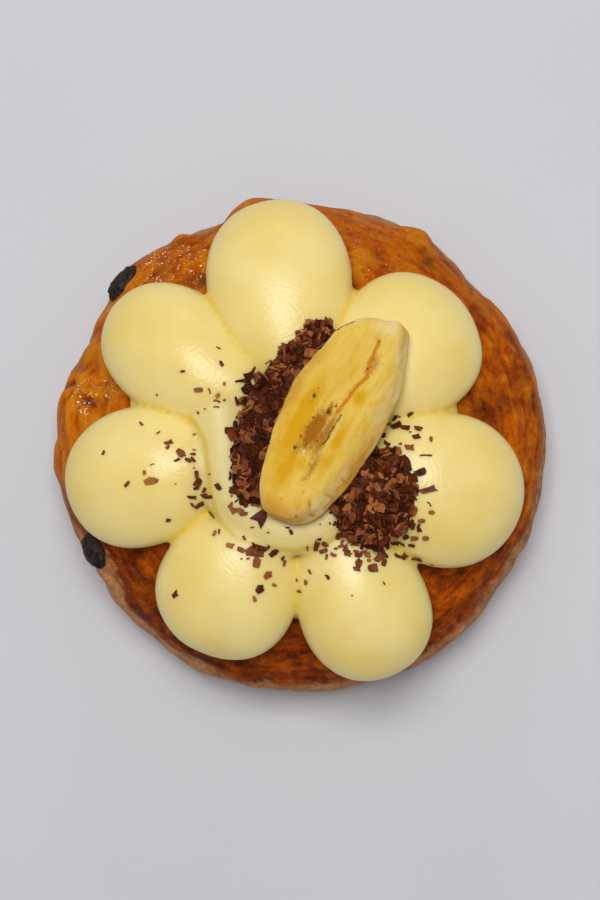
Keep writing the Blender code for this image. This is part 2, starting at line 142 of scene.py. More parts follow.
def around(radius, angle, height):
    """The point at this distance from the axis, angle from +X in degrees, and height."""
    turn = math.radians(angle)
    return Vector((radius * math.cos(turn), radius * math.sin(turn), height))


def only(obj):
    """Makes this the one selected and active object."""
    bpy.ops.object.select_all(action="DESELECT")
    obj.select_set(True)
    bpy.context.view_layer.objects.active = obj


def settle(obj):
    """Applies the object's modifiers, then its place, turn and scale."""
    only(obj)
    for modifier in list(obj.modifiers):
        bpy.ops.object.modifier_apply(modifier=modifier.name)
    bpy.ops.object.transform_apply(location=True, rotation=True, scale=True)


def spun(name, outline, steps):
    """Draws an outline of radius and height point by point, and spins it about the Z axis."""
    points = [Vector((radius, 0.0, height)) for radius, height in outline]
    bpy.ops.object.select_all(action="DESELECT")
    bpy.ops.mesh.primitive_plane_add(size=MM, location=points[0])
    obj = bpy.context.object
    obj.name = name
    bpy.ops.object.transform_apply(location=True)
    bpy.ops.object.mode_set(mode="EDIT")
    bpy.ops.mesh.select_all(action="SELECT")
    bpy.ops.mesh.merge(type="CENTER")
    for old, new in zip(points, points[1:]):
        bpy.ops.mesh.extrude_region_move(TRANSFORM_OT_translate={"value": new - old})
    bpy.ops.mesh.select_all(action="SELECT")
    bpy.ops.mesh.spin(steps=steps, angle=math.tau, center=(0.0, 0.0, 0.0), axis=(0.0, 0.0, 1.0))
    bpy.ops.mesh.select_all(action="SELECT")
    bpy.ops.mesh.remove_doubles(threshold=0.002 * MM)
    bpy.ops.mesh.normals_make_consistent(inside=False)
    bpy.ops.object.mode_set(mode="OBJECT")
    return obj


def reshape(obj, rule):
    """Moves every point of the mesh to where the rule puts it."""
    for vertex in obj.data.vertices:
        vertex.co = rule(vertex.co)
    obj.data.update()


def mark(obj, name, values):
    """Gives every point of the mesh a number that its material can read."""
    layer = obj.data.attributes.new(name, "FLOAT", "POINT")
    layer.data.foreach_set("value", np.asarray(values, np.float32))


def hollowness(obj, blurs):
    """How far each point lies in a hollow, below 0 on a ridge and above 0 in a crease."""
    mesh = obj.data
    points = np.empty(len(mesh.vertices) * 3)
    mesh.vertices.foreach_get("co", points)
    normals = np.empty(len(mesh.vertices) * 3)
    mesh.vertices.foreach_get("normal", normals)
    ends = np.empty(len(mesh.edges) * 2, int)
    mesh.edges.foreach_get("vertices", ends)
    points, normals, ends = points.reshape(-1, 3), normals.reshape(-1, 3), ends.reshape(-1, 2)
    count = np.bincount(ends.ravel(), minlength=len(points))[:, None].astype(float)

    def neighbours_mean(values):
        total = np.zeros_like(values)
        np.add.at(total, ends[:, 0], values[ends[:, 1]])
        np.add.at(total, ends[:, 1], values[ends[:, 0]])
        return total / np.maximum(count, 1.0)

    length = np.linalg.norm(points[ends[:, 0]] - points[ends[:, 1]], axis=1).mean()
    hollow = ((neighbours_mean(points) - points) * normals).sum(axis=1, keepdims=True) / length
    for _ in range(blurs):
        hollow = 0.5 * hollow + 0.5 * neighbours_mean(hollow)
    return hollow[:, 0]


def dome_height(radius):
    """Height of the smooth dome at this distance from the axis."""
    share = min(radius / BREAD_RADIUS, 1.0) ** SHOULDER_POWER
    return BREAD_WIDEST_Z + (BREAD_HEIGHT - BREAD_WIDEST_Z) * (1.0 - share) ** (1.0 / SHOULDER_POWER)


def bread_outline():
    points = [(HIDDEN_RADIUS * i / HIDDEN_RINGS, 0.0) for i in range(HIDDEN_RINGS)]
    points = [(radius, dome_height(radius)) for radius, _ in points]
    first = math.asin(HIDDEN_RADIUS / BREAD_RADIUS)
    for i in range(DOME_RINGS + 1):
        radius = BREAD_RADIUS * math.sin(first + (math.pi / 2 - first) * i / DOME_RINGS)
        points.append((radius, dome_height(radius)))
    for i in range(1, SIDE_RINGS + 1):
        turn = math.pi / 2 * i / SIDE_RINGS
        radius = BASE_RADIUS + (BREAD_RADIUS - BASE_RADIUS) * max(0.0, math.cos(turn)) ** (2 / SIDE_POWER)
        points.append((radius, BREAD_WIDEST_Z * (1.0 - math.sin(turn) ** (2 / SIDE_POWER))))
    return points + [(BASE_RADIUS * 0.7, 0.0), (0.0, 0.0)]


def crust(point):
    """Where the uneven, wrinkled crust lies for a point of the smooth turned shape."""
    outward = Vector((point.x, point.y, 0.0)) / BREAD_RADIUS
    outward.z = max(0.0, (point.z - BREAD_WIDEST_Z) / (BREAD_HEIGHT - BREAD_WIDEST_Z))
    if outward.length < 1e-6:
        return point.copy()
    # The vectors that are added here only keep the patterns apart.
    lump = noise.noise(point / CRUST_LUMP_SIZE) * CRUST_LUMP
    crag = noise.noise(point / CRUST_CRAG_SIZE + Vector((9.0, 4.0, 2.0))) * CRUST_CRAG
    patch = min(1.0, max(0.15, 0.5 + 1.4 * noise.noise(point / CRUST_PATCH_SIZE + Vector((3.0, 1.0, 7.0)))))
    bent = point / CRUST_WRINKLE_SIZE + noise.noise_vector(point / CRUST_CRAG_SIZE) * 0.8
    ridge = noise.noise(bent) + 0.3 * noise.noise(bent * 2.3)
    swelling = 0.0
    fold = 1.5 * noise.noise(point / CRUST_FOLD_SIZE + noise.noise_vector(point / CRUST_PATCH_SIZE) * 1.5)
    for angle, height, width, depth in CRUST_FOLDS:
        near = (point - around(CRUST_FOLD_REACH, angle, height)).length / width
        swelling += fold * depth * math.exp(-near * near)
    for angle, height, width, amount in CRUST_SWELLINGS:
        near = (point - around(BREAD_RADIUS, angle, height)).length / width
        if near < 3.0:
            swelling += amount * math.exp(-near * near)
    for x, y, width, dark in CRUST_DARK_SPOTS:
        near = math.hypot(point.x - x, point.y - y) / width
        swelling -= dark * DARK_SPOT_DEPTH * math.exp(-near * near)
    firm = min(1.0, point.z / FIRM_HEIGHT)
    rise = lump + crag + swelling + ridge * patch * CRUST_WRINKLE
    return point + outward.normalized() * rise * firm


def connect(look, socket, value):
    """Links the socket to another socket, or sets it to a number or colour."""
    if isinstance(value, bpy.types.NodeSocket):
        look.node_tree.links.new(value, socket)
    elif socket.type == "RGBA" and len(value) == 3:
        socket.default_value = (*value, 1.0)
    else:
        socket.default_value = value


def add_node(look, kind, inputs, **settings):
    node = look.node_tree.nodes.new("ShaderNode" + kind)
    for name, value in settings.items():
        setattr(node, name, value)
    for key, value in inputs.items():
        connect(look, node.inputs[key], value)
    return node


def place_on(look, stretch=(1.0, 1.0, 1.0), turn=0.0):
    """The place on the piece, turned about Z by an angle in degrees and stretched along its axes."""
    place = add_node(look, "TexCoord", {}).outputs["Object"]
    inputs = {"Vector": place, "Angle": math.radians(-turn)}
    turned = add_node(look, "VectorRotate", inputs, rotation_type="Z_AXIS").outputs[0]
    scale = tuple(1.0 / amount for amount in stretch)
    return add_node(look, "Mapping", {"Vector": turned, "Scale": scale}).outputs[0]


def cloudy(look, place, size, detail=4.0, roughness=0.6, distortion=0.0):
    """A cloudy pattern from 0 to 1, with clouds of this size."""
    inputs = {"Vector": place, "Scale": 1.0 / size, "Detail": detail, "Roughness": roughness}
    return add_node(look, "TexNoise", {**inputs, "Distortion": distortion}).outputs[0]


def marked(look, name):
    return add_node(look, "Attribute", {}, attribute_name=name).outputs["Fac"]


def between(look, value, low, high, start=0.0, end=1.0):
    """Runs smoothly from start to end as the value goes from low to high."""
    inputs = {"Value": value, "From Min": low, "From Max": high, "To Min": start, "To Max": end}
    return add_node(look, "MapRange", inputs, interpolation_type="SMOOTHSTEP").outputs[0]


def sums(look, *terms):
    """The sum of pairs of a value and its weight."""
    total = 0.0
    for value, weight in terms:
        total = add_node(look, "Math", {0: value, 1: weight, 2: total}, operation="MULTIPLY_ADD").outputs[0]
    return total


def times(look, first, second):
    return add_node(look, "Math", {0: first, 1: second}, operation="MULTIPLY").outputs[0]


def vectors(look, operation, first, second=(0.0, 0.0, 0.0)):
    """A vector made from one or two others."""
    return add_node(look, "VectorMath", {0: first, 1: second}, operation=operation).outputs["Vector"]


def blended(look, share, first, second):
    """The first colour where the share is 0, the second where it is 1."""
    return add_node(look, "Mix", {0: share, 6: first, 7: second}, data_type="RGBA").outputs[2]


def shades(look, value, stops):
    """Colours along a value: each stop is a place from 0 to 1 and a colour."""
    ramp = add_node(look, "ValToRGB", {"Fac": value})
    while len(ramp.color_ramp.elements) < len(stops):
        ramp.color_ramp.elements.new(0.5)
    for element, (position, colour) in zip(ramp.color_ramp.elements, stops):
        element.position = position
        element.color = (*colour, 1.0)
    return ramp.outputs[0]


def bumps(look, *layers):
    """Fine relief: each layer is a height pattern and the depth of its relief in metres."""
    normal = None
    for height, depth in layers:
        inputs = {"Height": height, "Distance": depth, "Strength": 1.0}
        if normal is not None:
            inputs["Normal"] = normal
        normal = add_node(look, "Bump", inputs).outputs[0]
    return normal


def new_look(name, **sockets):
    """A new material. Its shader's sockets are named with _ for a space."""
    look = bpy.data.materials.new(name)
    look.use_nodes = True
    dress(look, **sockets)
    return look


def dress(look, **sockets):
    shader = look.node_tree.nodes["Principled BSDF"]
    for name, value in sockets.items():
        connect(look, shader.inputs[name.replace("_", " ").title().replace("Ior", "IOR")], value)


def along_rim(look, place, stretch):
    """The place on the round bread, so that a pattern on it is drawn out along the rim."""
    flat = vectors(look, "MULTIPLY", place, (1.0, 1.0, 0.0))
    radius = add_node(look, "VectorMath", {0: flat}, operation="LENGTH").outputs["Value"]
    heading = {0: vectors(look, "NORMALIZE", flat), "Scale": BREAD_RADIUS / stretch}
    heading = add_node(look, "VectorMath", heading, operation="SCALE").outputs["Vector"]
    height = add_node(look, "SeparateXYZ", {0: place}).outputs["Z"]
    down = add_node(look, "CombineXYZ", {"Z": sums(look, (radius, 1.0), (height, -1.0))}).outputs[0]
    return vectors(look, "ADD", heading, down)


def faded(x, y, width):
    """Strength of a soft round mark of this width at a distance from its middle."""
    return math.exp(-((math.hypot(x, y) / width) ** 2))


def crust_look():
    look = new_look("glazed_crust", Specular_IOR_Level=0.08, Specular_Tint=CRUST_SHINE, Coat_Roughness=0.05)
    place = place_on(look)
    rim = along_rim(look, place, 3.0)
    ribs = place_on(look, (1.0, 1.0, 3.0))
    broad = cloudy(look, place, 8.0 * MM, 4.0, 0.6, 0.7)
    streaks = cloudy(look, rim, 3.6 * MM, 4.0, 0.6, 0.6)
    fine = cloudy(look, place, 1.0 * MM, 4.0, 0.65, 0.4)
    hollow = marked(look, "hollow")
    # Lighter or darker by angle, darkest on the side away from the lamps: partly browning, partly painted
    # shade.
    bake_and_shade = marked(look, "bake_and_shade")
    # The crust is darker in its hollows: painted shade.
    tone = sums(look, (broad, 0.42), (streaks, 0.63), (fine, 0.30), (hollow, -0.5), (bake_and_shade, 1.0), (1.0, -0.16))
    baked = ((0.26, CRUST_DARK), (0.40, CRUST_BROWN), (0.53, CRUST_ORANGE), (0.68, CRUST_GOLD))
    top = shades(look, tone, baked)
    amber = between(look, cloudy(look, place, 5.0 * MM, 3.0, 0.55, 0.8), 0.48, 0.72, 0.0, 0.35)
    amber = times(look, amber, between(look, bake_and_shade, -0.14, 0.0, 0.15, 1.0))
    top = blended(look, amber, top, CRUST_AMBER)
    # Dark spots by the cream and the raisin: partly the dark crumb, partly painted shade.
    crumb_and_shade = sums(look, (marked(look, "crumb_and_shade"), 1.0), (fine, 2.4), (1.0, -1.2))
    top = blended(look, between(look, crumb_and_shade, 0.15, 1.1, 0.0, 0.85), top, CRUMB_AND_SHADE_BROWN)
    # The side too is darker in its hollows: painted shade.
    side_tone = sums(look, (cloudy(look, ribs, 3.0 * MM, 5.0, 0.7), 0.9), (hollow, -0.7), (broad, 0.2))
    side_tone = sums(look, (side_tone, 1.0), (fine, 0.5), (marked(look, "side_bake"), 1.0), (1.0, -0.25))
    side = shades(look, side_tone, ((0.36, SIDE_BROWN), (0.72, SIDE_PALE)))
    above = marked(look, "glaze")
    glazed = between(look, sums(look, (above, 1.0), (broad, 4.0), (fine, 2.5), (1.0, -3.25)), -0.6, 0.6)
    colour = blended(look, glazed, side, top)
    glint = marked(look, "glint")
    # Glaze stands in small drops in the pores of the crust, and each drop is tilted its own way.
    drops = between(look, cloudy(look, place, DROP_SIZE, 1.0, 0.5), 0.60, 0.64)
    wet = between(look, sums(look, (glint, 1.0), (broad, 1.2), (1.0, -0.6)), 0.05, 0.6, 0.05, 1.0)
    inputs = {"Vector": place, "Scale": 1.0 / DROP_SIZE, "Detail": 0.0}
    lean = add_node(look, "TexNoise", inputs).outputs["Color"]
    level = vectors(look, "NORMALIZE", vectors(look, "ADD", lean, DROP_LEAN))
    crinkle = times(look, fine, sums(look, (glint, 0.8), (1.0, 0.30)))
    roughness = sums(look, (glazed, -0.20), (glint, -0.15), (fine, 0.20), (1.0, 0.58))
    relief = bumps(look, (streaks, 0.30 * MM), (crinkle, 0.8 * MM))
    coat = times(look, times(look, drops, wet), glazed)
    dress(look, Base_Color=colour, Roughness=roughness, Normal=relief, Coat_Weight=coat, Coat_Normal=level)
    return look


bread = spun("bread_loaf", bread_outline(), TURN_STEPS)
reshape(bread, crust)
bread.data.shade_smooth()
mark(bread, "hollow", hollowness(bread, blurs=2) * HOLLOW_STRENGTH)
marks = {"crumb_and_shade": [], "glint": [], "glaze": [], "bake_and_shade": [], "side_bake": []}
for vertex in bread.data.vertices:
    x, y, z = vertex.co
    angle = math.degrees(math.atan2(y, x))
    above = (z - np.interp(angle, *zip(*GLAZE_ENDS)) * MM) / GLAZE_FADE
    marks["glaze"].append(max(-GLAZE_LIMIT, min(GLAZE_LIMIT, above)))
    marks["bake_and_shade"].append(np.interp(angle, *zip(*CRUST_BAKE_AND_SHADE)) / 100)
    marks["side_bake"].append(np.interp(angle, *zip(*SIDE_BAKE)) / 100)
    marks["crumb_and_shade"].append(max(dark * faded(x - a, y - b, width) for a, b, width, dark in CRUST_DARK_SPOTS))
    marks["glint"].append(max(faded(x - a, y - b, width) for a, b, width in GLINT_PATCHES))
for name, values in marks.items():
    mark(bread, name, values)
bread.data.materials.append(crust_look())
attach(bread, "root")
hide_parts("bread")

# ================================================================ the raisins
# Two raisins baked into the edge of the crust: black, deeply wrinkled and a little dusty.
# Each is half sunk in the crust.

# Raisins: name, angle, distance from the axis, height, length, width.
RAISINS = sized((
    ("raisin_upper", 137.3, 57.9, 24.0, 10.8, 6.4), ("raisin_lower", -152.2, 55.7, 26.5, 9.2, 6.4),
), 2, 6)
RAISIN_LEAN = 20.0  # degrees by which a raisin follows the shoulder of the bread
RAISIN_WRINKLE = 0.13
RAISIN_WRINKLE_SIZE = 1.9 * MM
RAISIN_CREASE = 0.09
RAISIN_CREASE_SIZE = 1.1 * MM
RAISIN_FLATNESS = 0.85  # height as a share of its width
RAISIN_BLACK = (0.006, 0.004, 0.003)
RAISIN_BROWN = (0.045, 0.022, 0.014)


def raisin_look():
    look = new_look("raisin_skin", Specular_IOR_Level=0.25)
    place = place_on(look)
    dust = cloudy(look, place, 1.2 * MM, 4.0, 0.6)
    colour = shades(look, dust, ((0.40, RAISIN_BLACK), (0.70, RAISIN_BROWN)))
    relief = bumps(look, (cloudy(look, place, 0.7 * MM, 3.0, 0.6, 0.5), 0.25 * MM))
    dress(look, Base_Color=colour, Roughness=between(look, dust, 0.35, 0.65, 0.40, 0.60), Normal=relief)
    return look


def make_raisin(name, angle, radius, height, length, width):
    bpy.ops.object.select_all(action="DESELECT")
    bpy.ops.mesh.primitive_ico_sphere_add(subdivisions=5, radius=0.5)
    raisin = bpy.context.object
    raisin.name = name + "_wrinkled"
    centre = around(radius, angle, height)
    raisin.scale = (width, length, width * RAISIN_FLATNESS)
    raisin.rotation_euler = (0.0, math.radians(RAISIN_LEAN), math.radians(angle))
    raisin.location = centre
    settle(raisin)

    def wrinkle(point):
        fold = noise.noise(point / RAISIN_WRINKLE_SIZE) * RAISIN_WRINKLE
        crease = 0.4 - abs(noise.noise(point / RAISIN_CREASE_SIZE)) * 2.0
        return centre + (point - centre) * (1.0 + fold + crease * RAISIN_CREASE)

    reshape(raisin, wrinkle)
    raisin.data.shade_smooth()
    raisin.data.materials.append(raisin_skin)
    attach(raisin, "root")
    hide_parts(name)


raisin_skin = raisin_look()
for row in RAISINS:
    make_raisin(*row)

# ================================================================ the cream flower
# Seven bulbs of pale yellow buttercream, each one squeeze of a piping bag drawn out towards the middle,
# and a flat round dollop over their tails, with one last squeeze laid round it. They run into one another
# with soft creases.

# Petals: angle, outer reach from the axis, length, width, height, taper to the middle.
PETALS = sized((
    (96.0, 57.6, 47.5, 34.2, 23.0, 0.36), (39.5, 50.6, 40.0, 34.5, 22.0, 0.45),
    (-18.8, 55.5, 42.5, 36.0, 23.0, 0.26),
    (-68.0, 59.9, 41.0, 30.7, 22.0, 0.37),
    (-114.5, 54.8, 38.0, 33.4, 22.0, 0.35),
    (-166.5, 55.9, 40.0, 33.3, 22.5, 0.16),
    (144.0, 53.9, 45.5, 29.2, 22.0, 0.45),
), 1, 5)
PETAL_LIFT = 5.7 * MM
PETAL_DROOP = 15.0  # degrees by which its outer end hangs down
APEX_RADIUS = 27.0 * MM  # distance from the axis of the top of each petal, round which its ripples lie
RIPPLE_SIZE = 1.25 * MM
DOLLOP_CENTRE = Vector((-1.6 * MM, -6.6 * MM, 40.0 * MM))
DOLLOP_RADIUS = 18.2 * MM
DOLLOP_HEIGHT = 10.6 * MM
DOLLOP_ROLL = 4.2 * MM  # radius of the rolled edge
DOLLOP_ROLL_TURN = (90.0, -35.0)  # degrees through which the edge is rolled
DOLLOP_ROLL_STEPS = 16

# The last squeeze runs on from the upper left petal and round the dollop: x, y in millimetres.
TAIL = (
    (-24.0, 19.0), (-20.5, 14.0), (-18.0, 8.0), (-17.0, 1.0), (-16.6, -6.0), (-14.6, -13.0),
    (-9.8, -18.8), (-2.5, -21.4), (5.0, -20.4), (11.0, -16.0),
)
# The crease where the tail was laid against the petals, along which a darker yellow line of painted shade is
# drawn: x, y in millimetres.
TAIL_CREASE = (
    (-23.1, 3.6), (-20.7, -0.6), (-19.8, -6.5), (-19.3, -12.6), (-17.4, -19.3), (-13.2, -23.3), (-7.1, -25.6),
    (0.3, -26.3), (7.8, -24.5), (12.9, -20.8),
)
TAIL_CREASE_WIDTH = 0.75  # in millimetres
TAIL_CREASE_STRENGTH = 0.75
TAIL_SIZE = Vector((12.5 * MM, 12.5 * MM, 8.4 * MM))
TAIL_Z = 48.0 * MM
TAIL_STEPS = 9  # blobs from one point of its path to the next
TAIL_SMOOTHING = 24  # rounds of smoothing in the middle of the flower
MIDDLE_RADIUS = 20.0 * MM  # of the round middle of the flower, where the cream is smoothest
MIDDLE_END = 1.25  # where its soft edge ends, as a share of its radius
MIDDLE_FADE = 0.35  # width of that edge, as a share too

# Cream that was drawn into the notches between the petals, and one corner: x, y, z and width.
WEBS = sized((
    (13.2, 31.8, 38.5, 8.0), (34.6, 6.6, 37.5, 7.6), (0.2, -38.8, 35.0, 7.0), (-36.0, 8.9, 37.0, 7.4),
    (-24.5, 33.0, 38.0, 6.0), (-9.2, 49.4, 36.5, 13.0),
), 0, 4)
WEB_TALLNESS = 1.3  # height as a share of the width
DOLLOP_FOOT_RADIUS = 25.0 * MM  # of the core of cream under it, which holds the petals together
DOLLOP_FOOT_HEIGHT = 4.0 * MM
DOLLOP_ROOT = 6.5 * MM  # depth of that core
DOLLOP_STEPS = 96
CREAM_VOXEL = 0.60 * MM
CREAM_SMOOTHING = 5  # rounds of smoothing that soften the creases
CREAM_SINK = 2.5 * MM  # depth under the smooth dome at which the cream ends
CREAM_REACH = 0.97  # share of the bread's radius within which the cream rests on it
CREAM_SWELL = 0.25 * MM
CREAM_SWELL_SIZE = 11.0 * MM
CREAM_PALE = (0.915, 0.750, 0.300)
CREAM_DEEP = (0.870, 0.680, 0.210)
# The deeper yellow of the creases is painted shade.
CREAM_CREASE_SHADE = (0.810, 0.585, 0.055)
# The middle of the flower, under the slice and the heaps, takes a darker, greyer cream: painted shade.
CREAM_MIDDLE_SHADE = (0.760, 0.615, 0.240)
# The colour of the painted shade line along the tail's crease.
TAIL_CREASE_SHADE_YELLOW = (0.690, 0.500, 0.050)


def make_bulb():
    """A round bulb one metre across, with its poles along X."""
    bpy.ops.object.select_all(action="DESELECT")
    bpy.ops.mesh.primitive_uv_sphere_add(
        segments=64, ring_count=48, radius=0.5, rotation=(0.0, math.radians(90.0), 0.0)
    )
    settle(bpy.context.object)
    return bpy.context.object


def blob(bulb, place, size):
    """A copy of the bulb at a place, of this length, width and height."""
    cream = bulb.copy()
    cream.data = bulb.data.copy()
    bpy.context.scene.collection.objects.link(cream)
    cream.location = place
    cream.scale = size
    settle(cream)
    return cream


def squeezed(bulb, angle, reach, length, width, height, taper):
    """A copy of the bulb, drawn out and laid on the bread as one petal."""
    petal = blob(bulb, (0.0, 0.0, 0.0), (length, width, height))
    drawn_out = petal.modifiers.new("drawn_out", "SIMPLE_DEFORM")
    drawn_out.deform_method = "TAPER"
    drawn_out.deform_axis = "X"
    drawn_out.factor = taper
    settle(petal)
    droop = math.radians(PETAL_DROOP)
    middle = reach - length / 2 * math.cos(droop)
    petal.rotation_euler = Euler((0.0, droop, math.radians(angle)))
    petal.location = around(middle, angle, dome_height(middle) + PETAL_LIFT)
    settle(petal)
    return petal


def make_dollop():
    first, last = DOLLOP_ROLL_TURN
    roll = []
    for i in range(DOLLOP_ROLL_STEPS + 1):
        turn = math.radians(first + (last - first) * i / DOLLOP_ROLL_STEPS)
        radius = DOLLOP_RADIUS - DOLLOP_ROLL * (1.0 - math.cos(turn))
        roll.append((radius, DOLLOP_HEIGHT - DOLLOP_ROLL * (1.0 - math.sin(turn))))
    foot = [(DOLLOP_FOOT_RADIUS, DOLLOP_FOOT_HEIGHT), (DOLLOP_FOOT_RADIUS, -DOLLOP_ROOT)]
    outline = [(0.0, roll[0][1])] + roll + foot + [(0.0, -DOLLOP_ROOT)]
    dollop = spun("cream_flower", outline, DOLLOP_STEPS)
    dollop.location = DOLLOP_CENTRE
    settle(dollop)
    return dollop


def soften(cream, rounds, group=""):
    """Applies what is still open, then smooths the cream, or only the part that the group weighs."""
    smooth = cream.modifiers.new("soften", "SMOOTH")
    smooth.factor = 0.5
    smooth.iterations = rounds
    smooth.vertex_group = group
    settle(cream)


def drawn_lines(flat, line, width):
    """Strength at each place of a soft line through these points, all in millimetres."""
    nearest = np.full(len(flat), np.inf)
    for start, end in zip(np.array(line[:-1]), np.array(line[1:])):
        run = end - start
        share = np.clip((flat - start) @ run / (run @ run), 0.0, 1.0)
        nearest = np.minimum(nearest, np.linalg.norm(flat - start - share[:, None] * run, axis=1))
    return np.exp(-((nearest / width) ** 2))


def cream_look():
    look = new_look("buttercream", Subsurface_Weight=0.8, Subsurface_Scale=2.6 * MM)
    dress(look, Subsurface_Radius=(1.0, 0.72, 0.34), Specular_IOR_Level=0.5)
    place = place_on(look)
    cloud = cloudy(look, place, 16.0 * MM, 2.0, 0.5)
    plain = shades(look, cloud, ((0.35, CREAM_PALE), (0.65, CREAM_DEEP)))
    # The middle of the flower is painted darker and greyer: painted shade.
    middle = marked(look, "middle")
    # The creases between the petals are painted a deeper yellow: painted shade.
    crease = between(look, marked(look, "hollow"), 0.0, 0.10)
    colour = blended(look, crease, blended(look, middle, plain, CREAM_MIDDLE_SHADE), CREAM_CREASE_SHADE)
    # A darker yellow line along the crease round the tail: painted shade.
    tail_crease_shade = sums(look, (marked(look, "tail_crease_shade"), 1.0), (cloud, 0.5), (1.0, -0.25))
    tail_crease_shade = times(look, between(look, tail_crease_shade, 0.1, 1.0), TAIL_CREASE_STRENGTH)
    colour = blended(look, tail_crease_shade, colour, TAIL_CREASE_SHADE_YELLOW)
    ring = marked(look, "ring")
    near_apex = between(look, ring, 6.0 * MM, 14.0 * MM, 1.0, 0.12)
    crinkles = cloudy(look, place, 0.9 * MM, 3.0, 0.55, 0.3)
    crinkled = times(look, crinkles, near_apex)
    turns = sums(look, (ring, math.tau / RIPPLE_SIZE), (cloudy(look, place, 3.0 * MM, 3.0, 0.6), 14.0))
    ripple = add_node(look, "Math", {0: turns}, operation="SINE").outputs[0]
    ripple = times(look, ripple, between(look, cloudy(look, place, 2.4 * MM, 2.0, 0.5), 0.42, 0.64))
    relief = bumps(look, (times(look, ripple, near_apex), 0.012 * MM), (crinkled, 0.09 * MM))
    roughness = sums(look, (crinkles, 0.25), (crease, 0.35), (middle, 0.12), (1.0, 0.22))
    dress(look, Base_Color=colour, Roughness=roughness, Normal=relief)
    return look


def distance_to_apex(point):
    """Distance from the top of the nearest petal, seen from above."""
    tops = [around(APEX_RADIUS, row[0], 0.0) for row in PETALS]
    return min(math.hypot(point.x - top.x, point.y - top.y) for top in tops)


def rest_on_bread(point):
    """Swells the cream a little unevenly, and ends it just within the bread."""
    swell = noise.noise_vector(point / CREAM_SWELL_SIZE) * CREAM_SWELL
    moved = point + swell
    radius = math.hypot(moved.x, moved.y)
    if radius < BREAD_RADIUS * CREAM_REACH:
        moved.z = max(moved.z, dome_height(radius) - CREAM_SINK)
    return moved


def squeezed_tail(bulb):
    """The last squeeze, as a row of blobs so close that they make one smooth roll."""
    path = [Vector(point) * MM for point in TAIL]
    blobs = []
    for start, end in zip(path, path[1:]):
        for i in range(TAIL_STEPS):
            spot = start.lerp(end, i / TAIL_STEPS)
            blobs.append(blob(bulb, (spot.x, spot.y, TAIL_Z), TAIL_SIZE))
    return blobs


bulb = make_bulb()
pieces = [squeezed(bulb, *row) for row in PETALS] + squeezed_tail(bulb)
for x, y, z, width in WEBS:
    pieces.append(blob(bulb, (x, y, z), (width, width, width * WEB_TALLNESS)))
bpy.data.objects.remove(bulb, do_unlink=True)
flower = make_dollop()
for piece in pieces:
    piece.select_set(True)
bpy.ops.object.join()
remesh = flower.modifiers.new("one_piping", "REMESH")
remesh.mode = "VOXEL"
remesh.voxel_size = CREAM_VOXEL
remesh.use_smooth_shade = True
soften(flower, CREAM_SMOOTHING)
middles = [(vertex.co.xy - DOLLOP_CENTRE.xy).length / MIDDLE_RADIUS for vertex in flower.data.vertices]
middles = [min(1.0, max(0.0, (MIDDLE_END - share) / MIDDLE_FADE)) for share in middles]
group = flower.vertex_groups.new(name="smoothest")
for i, share in enumerate(middles):
    group.add([i], share, "REPLACE")
soften(flower, TAIL_SMOOTHING, group.name)
mark(flower, "middle", middles)
reshape(flower, rest_on_bread)
mark(flower, "hollow", hollowness(flower, blurs=9))
places = np.array([vertex.co.xy / MM for vertex in flower.data.vertices])
mark(flower, "tail_crease_shade", drawn_lines(places, TAIL_CREASE, TAIL_CREASE_WIDTH))
mark(flower, "ring", [distance_to_apex(vertex.co) for vertex in flower.data.vertices])
flower.data.materials.clear()
flower.data.materials.append(cream_look())
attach(flower, "root")
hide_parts("cream_dollop", "petal_top", "petal_upper_right", "petal_right", "petal_lower_right")
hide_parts("petal_lower_left", "petal_left", "petal_upper_left")

# ================================================================ the banana slice
# A slice cut across a dried banana at a slant. Its face is fibrous and golden round a sunken brown core
# with dark seeds; its rim is pale, leathery and a little wavy, and its lower end is browned.

SLICE_LENGTH = 50.4 * MM
SLICE_WIDTH = 19.5 * MM
SLICE_THICKNESS = 6.5 * MM
SLICE_OVAL_POWER = 2.4
# Bulges of the outline: direction and width in degrees, and how far they stand out as a share.
SLICE_LOBES = (
    (-84.0, 22.0, 0.03), (-21.0, 14.0, 0.09), (50.0, 11.0, 0.04), (83.0, 28.0, 0.14), (162.0, 13.0, 0.04),
)
SLICE_SLANT = Vector((-1.0 * MM, -2.6 * MM))  # by which the underside is shifted
SLICE_RIM_ROUNDING = 1.6 * MM
SLICE_FALL = 2.6 * MM  # by which the face rolls off to its lower side
SLICE_FALL_START = 0.45  # where it starts to, as a share of the half width
SLICE_FALL_RUN = 0.55
FACE_DEPTH = 0.3  # share of the thickness that takes the relief of the face
SLICE_HOLLOW = 1.5 * MM
SLICE_HOLLOW_WIDTH = 3.0 * MM
SLICE_HOLLOW_LENGTH = 38.0 * MM
SLICE_WAVE = 0.5 * MM
SLICE_WAVE_SIZE = 9.0 * MM
SLICE_PUCKER = 0.22 * MM  # small folds of the dried rim
SLICE_PUCKER_SIZE = 2.5 * MM
FIBRE_DEPTH = 0.12  # in millimetres, of the fibres of the face
DENT_DEPTH = 0.35  # in millimetres, of its broad dents
SLICE_CENTRE = Vector((8.6 * MM, 4.2 * MM, 57.4 * MM))
SLICE_ANGLE = 60.1  # degrees about Z
SLICE_PITCH = 1.5  # by which its upper end is raised
SLICE_ROLL = 8.0  # by which it leans to the side
FACE_RINGS = 80
UPPER_EDGE_STEPS = 8
WALL_STEPS = 8
LOWER_EDGE_STEPS = 5
SLICE_STEPS = 320

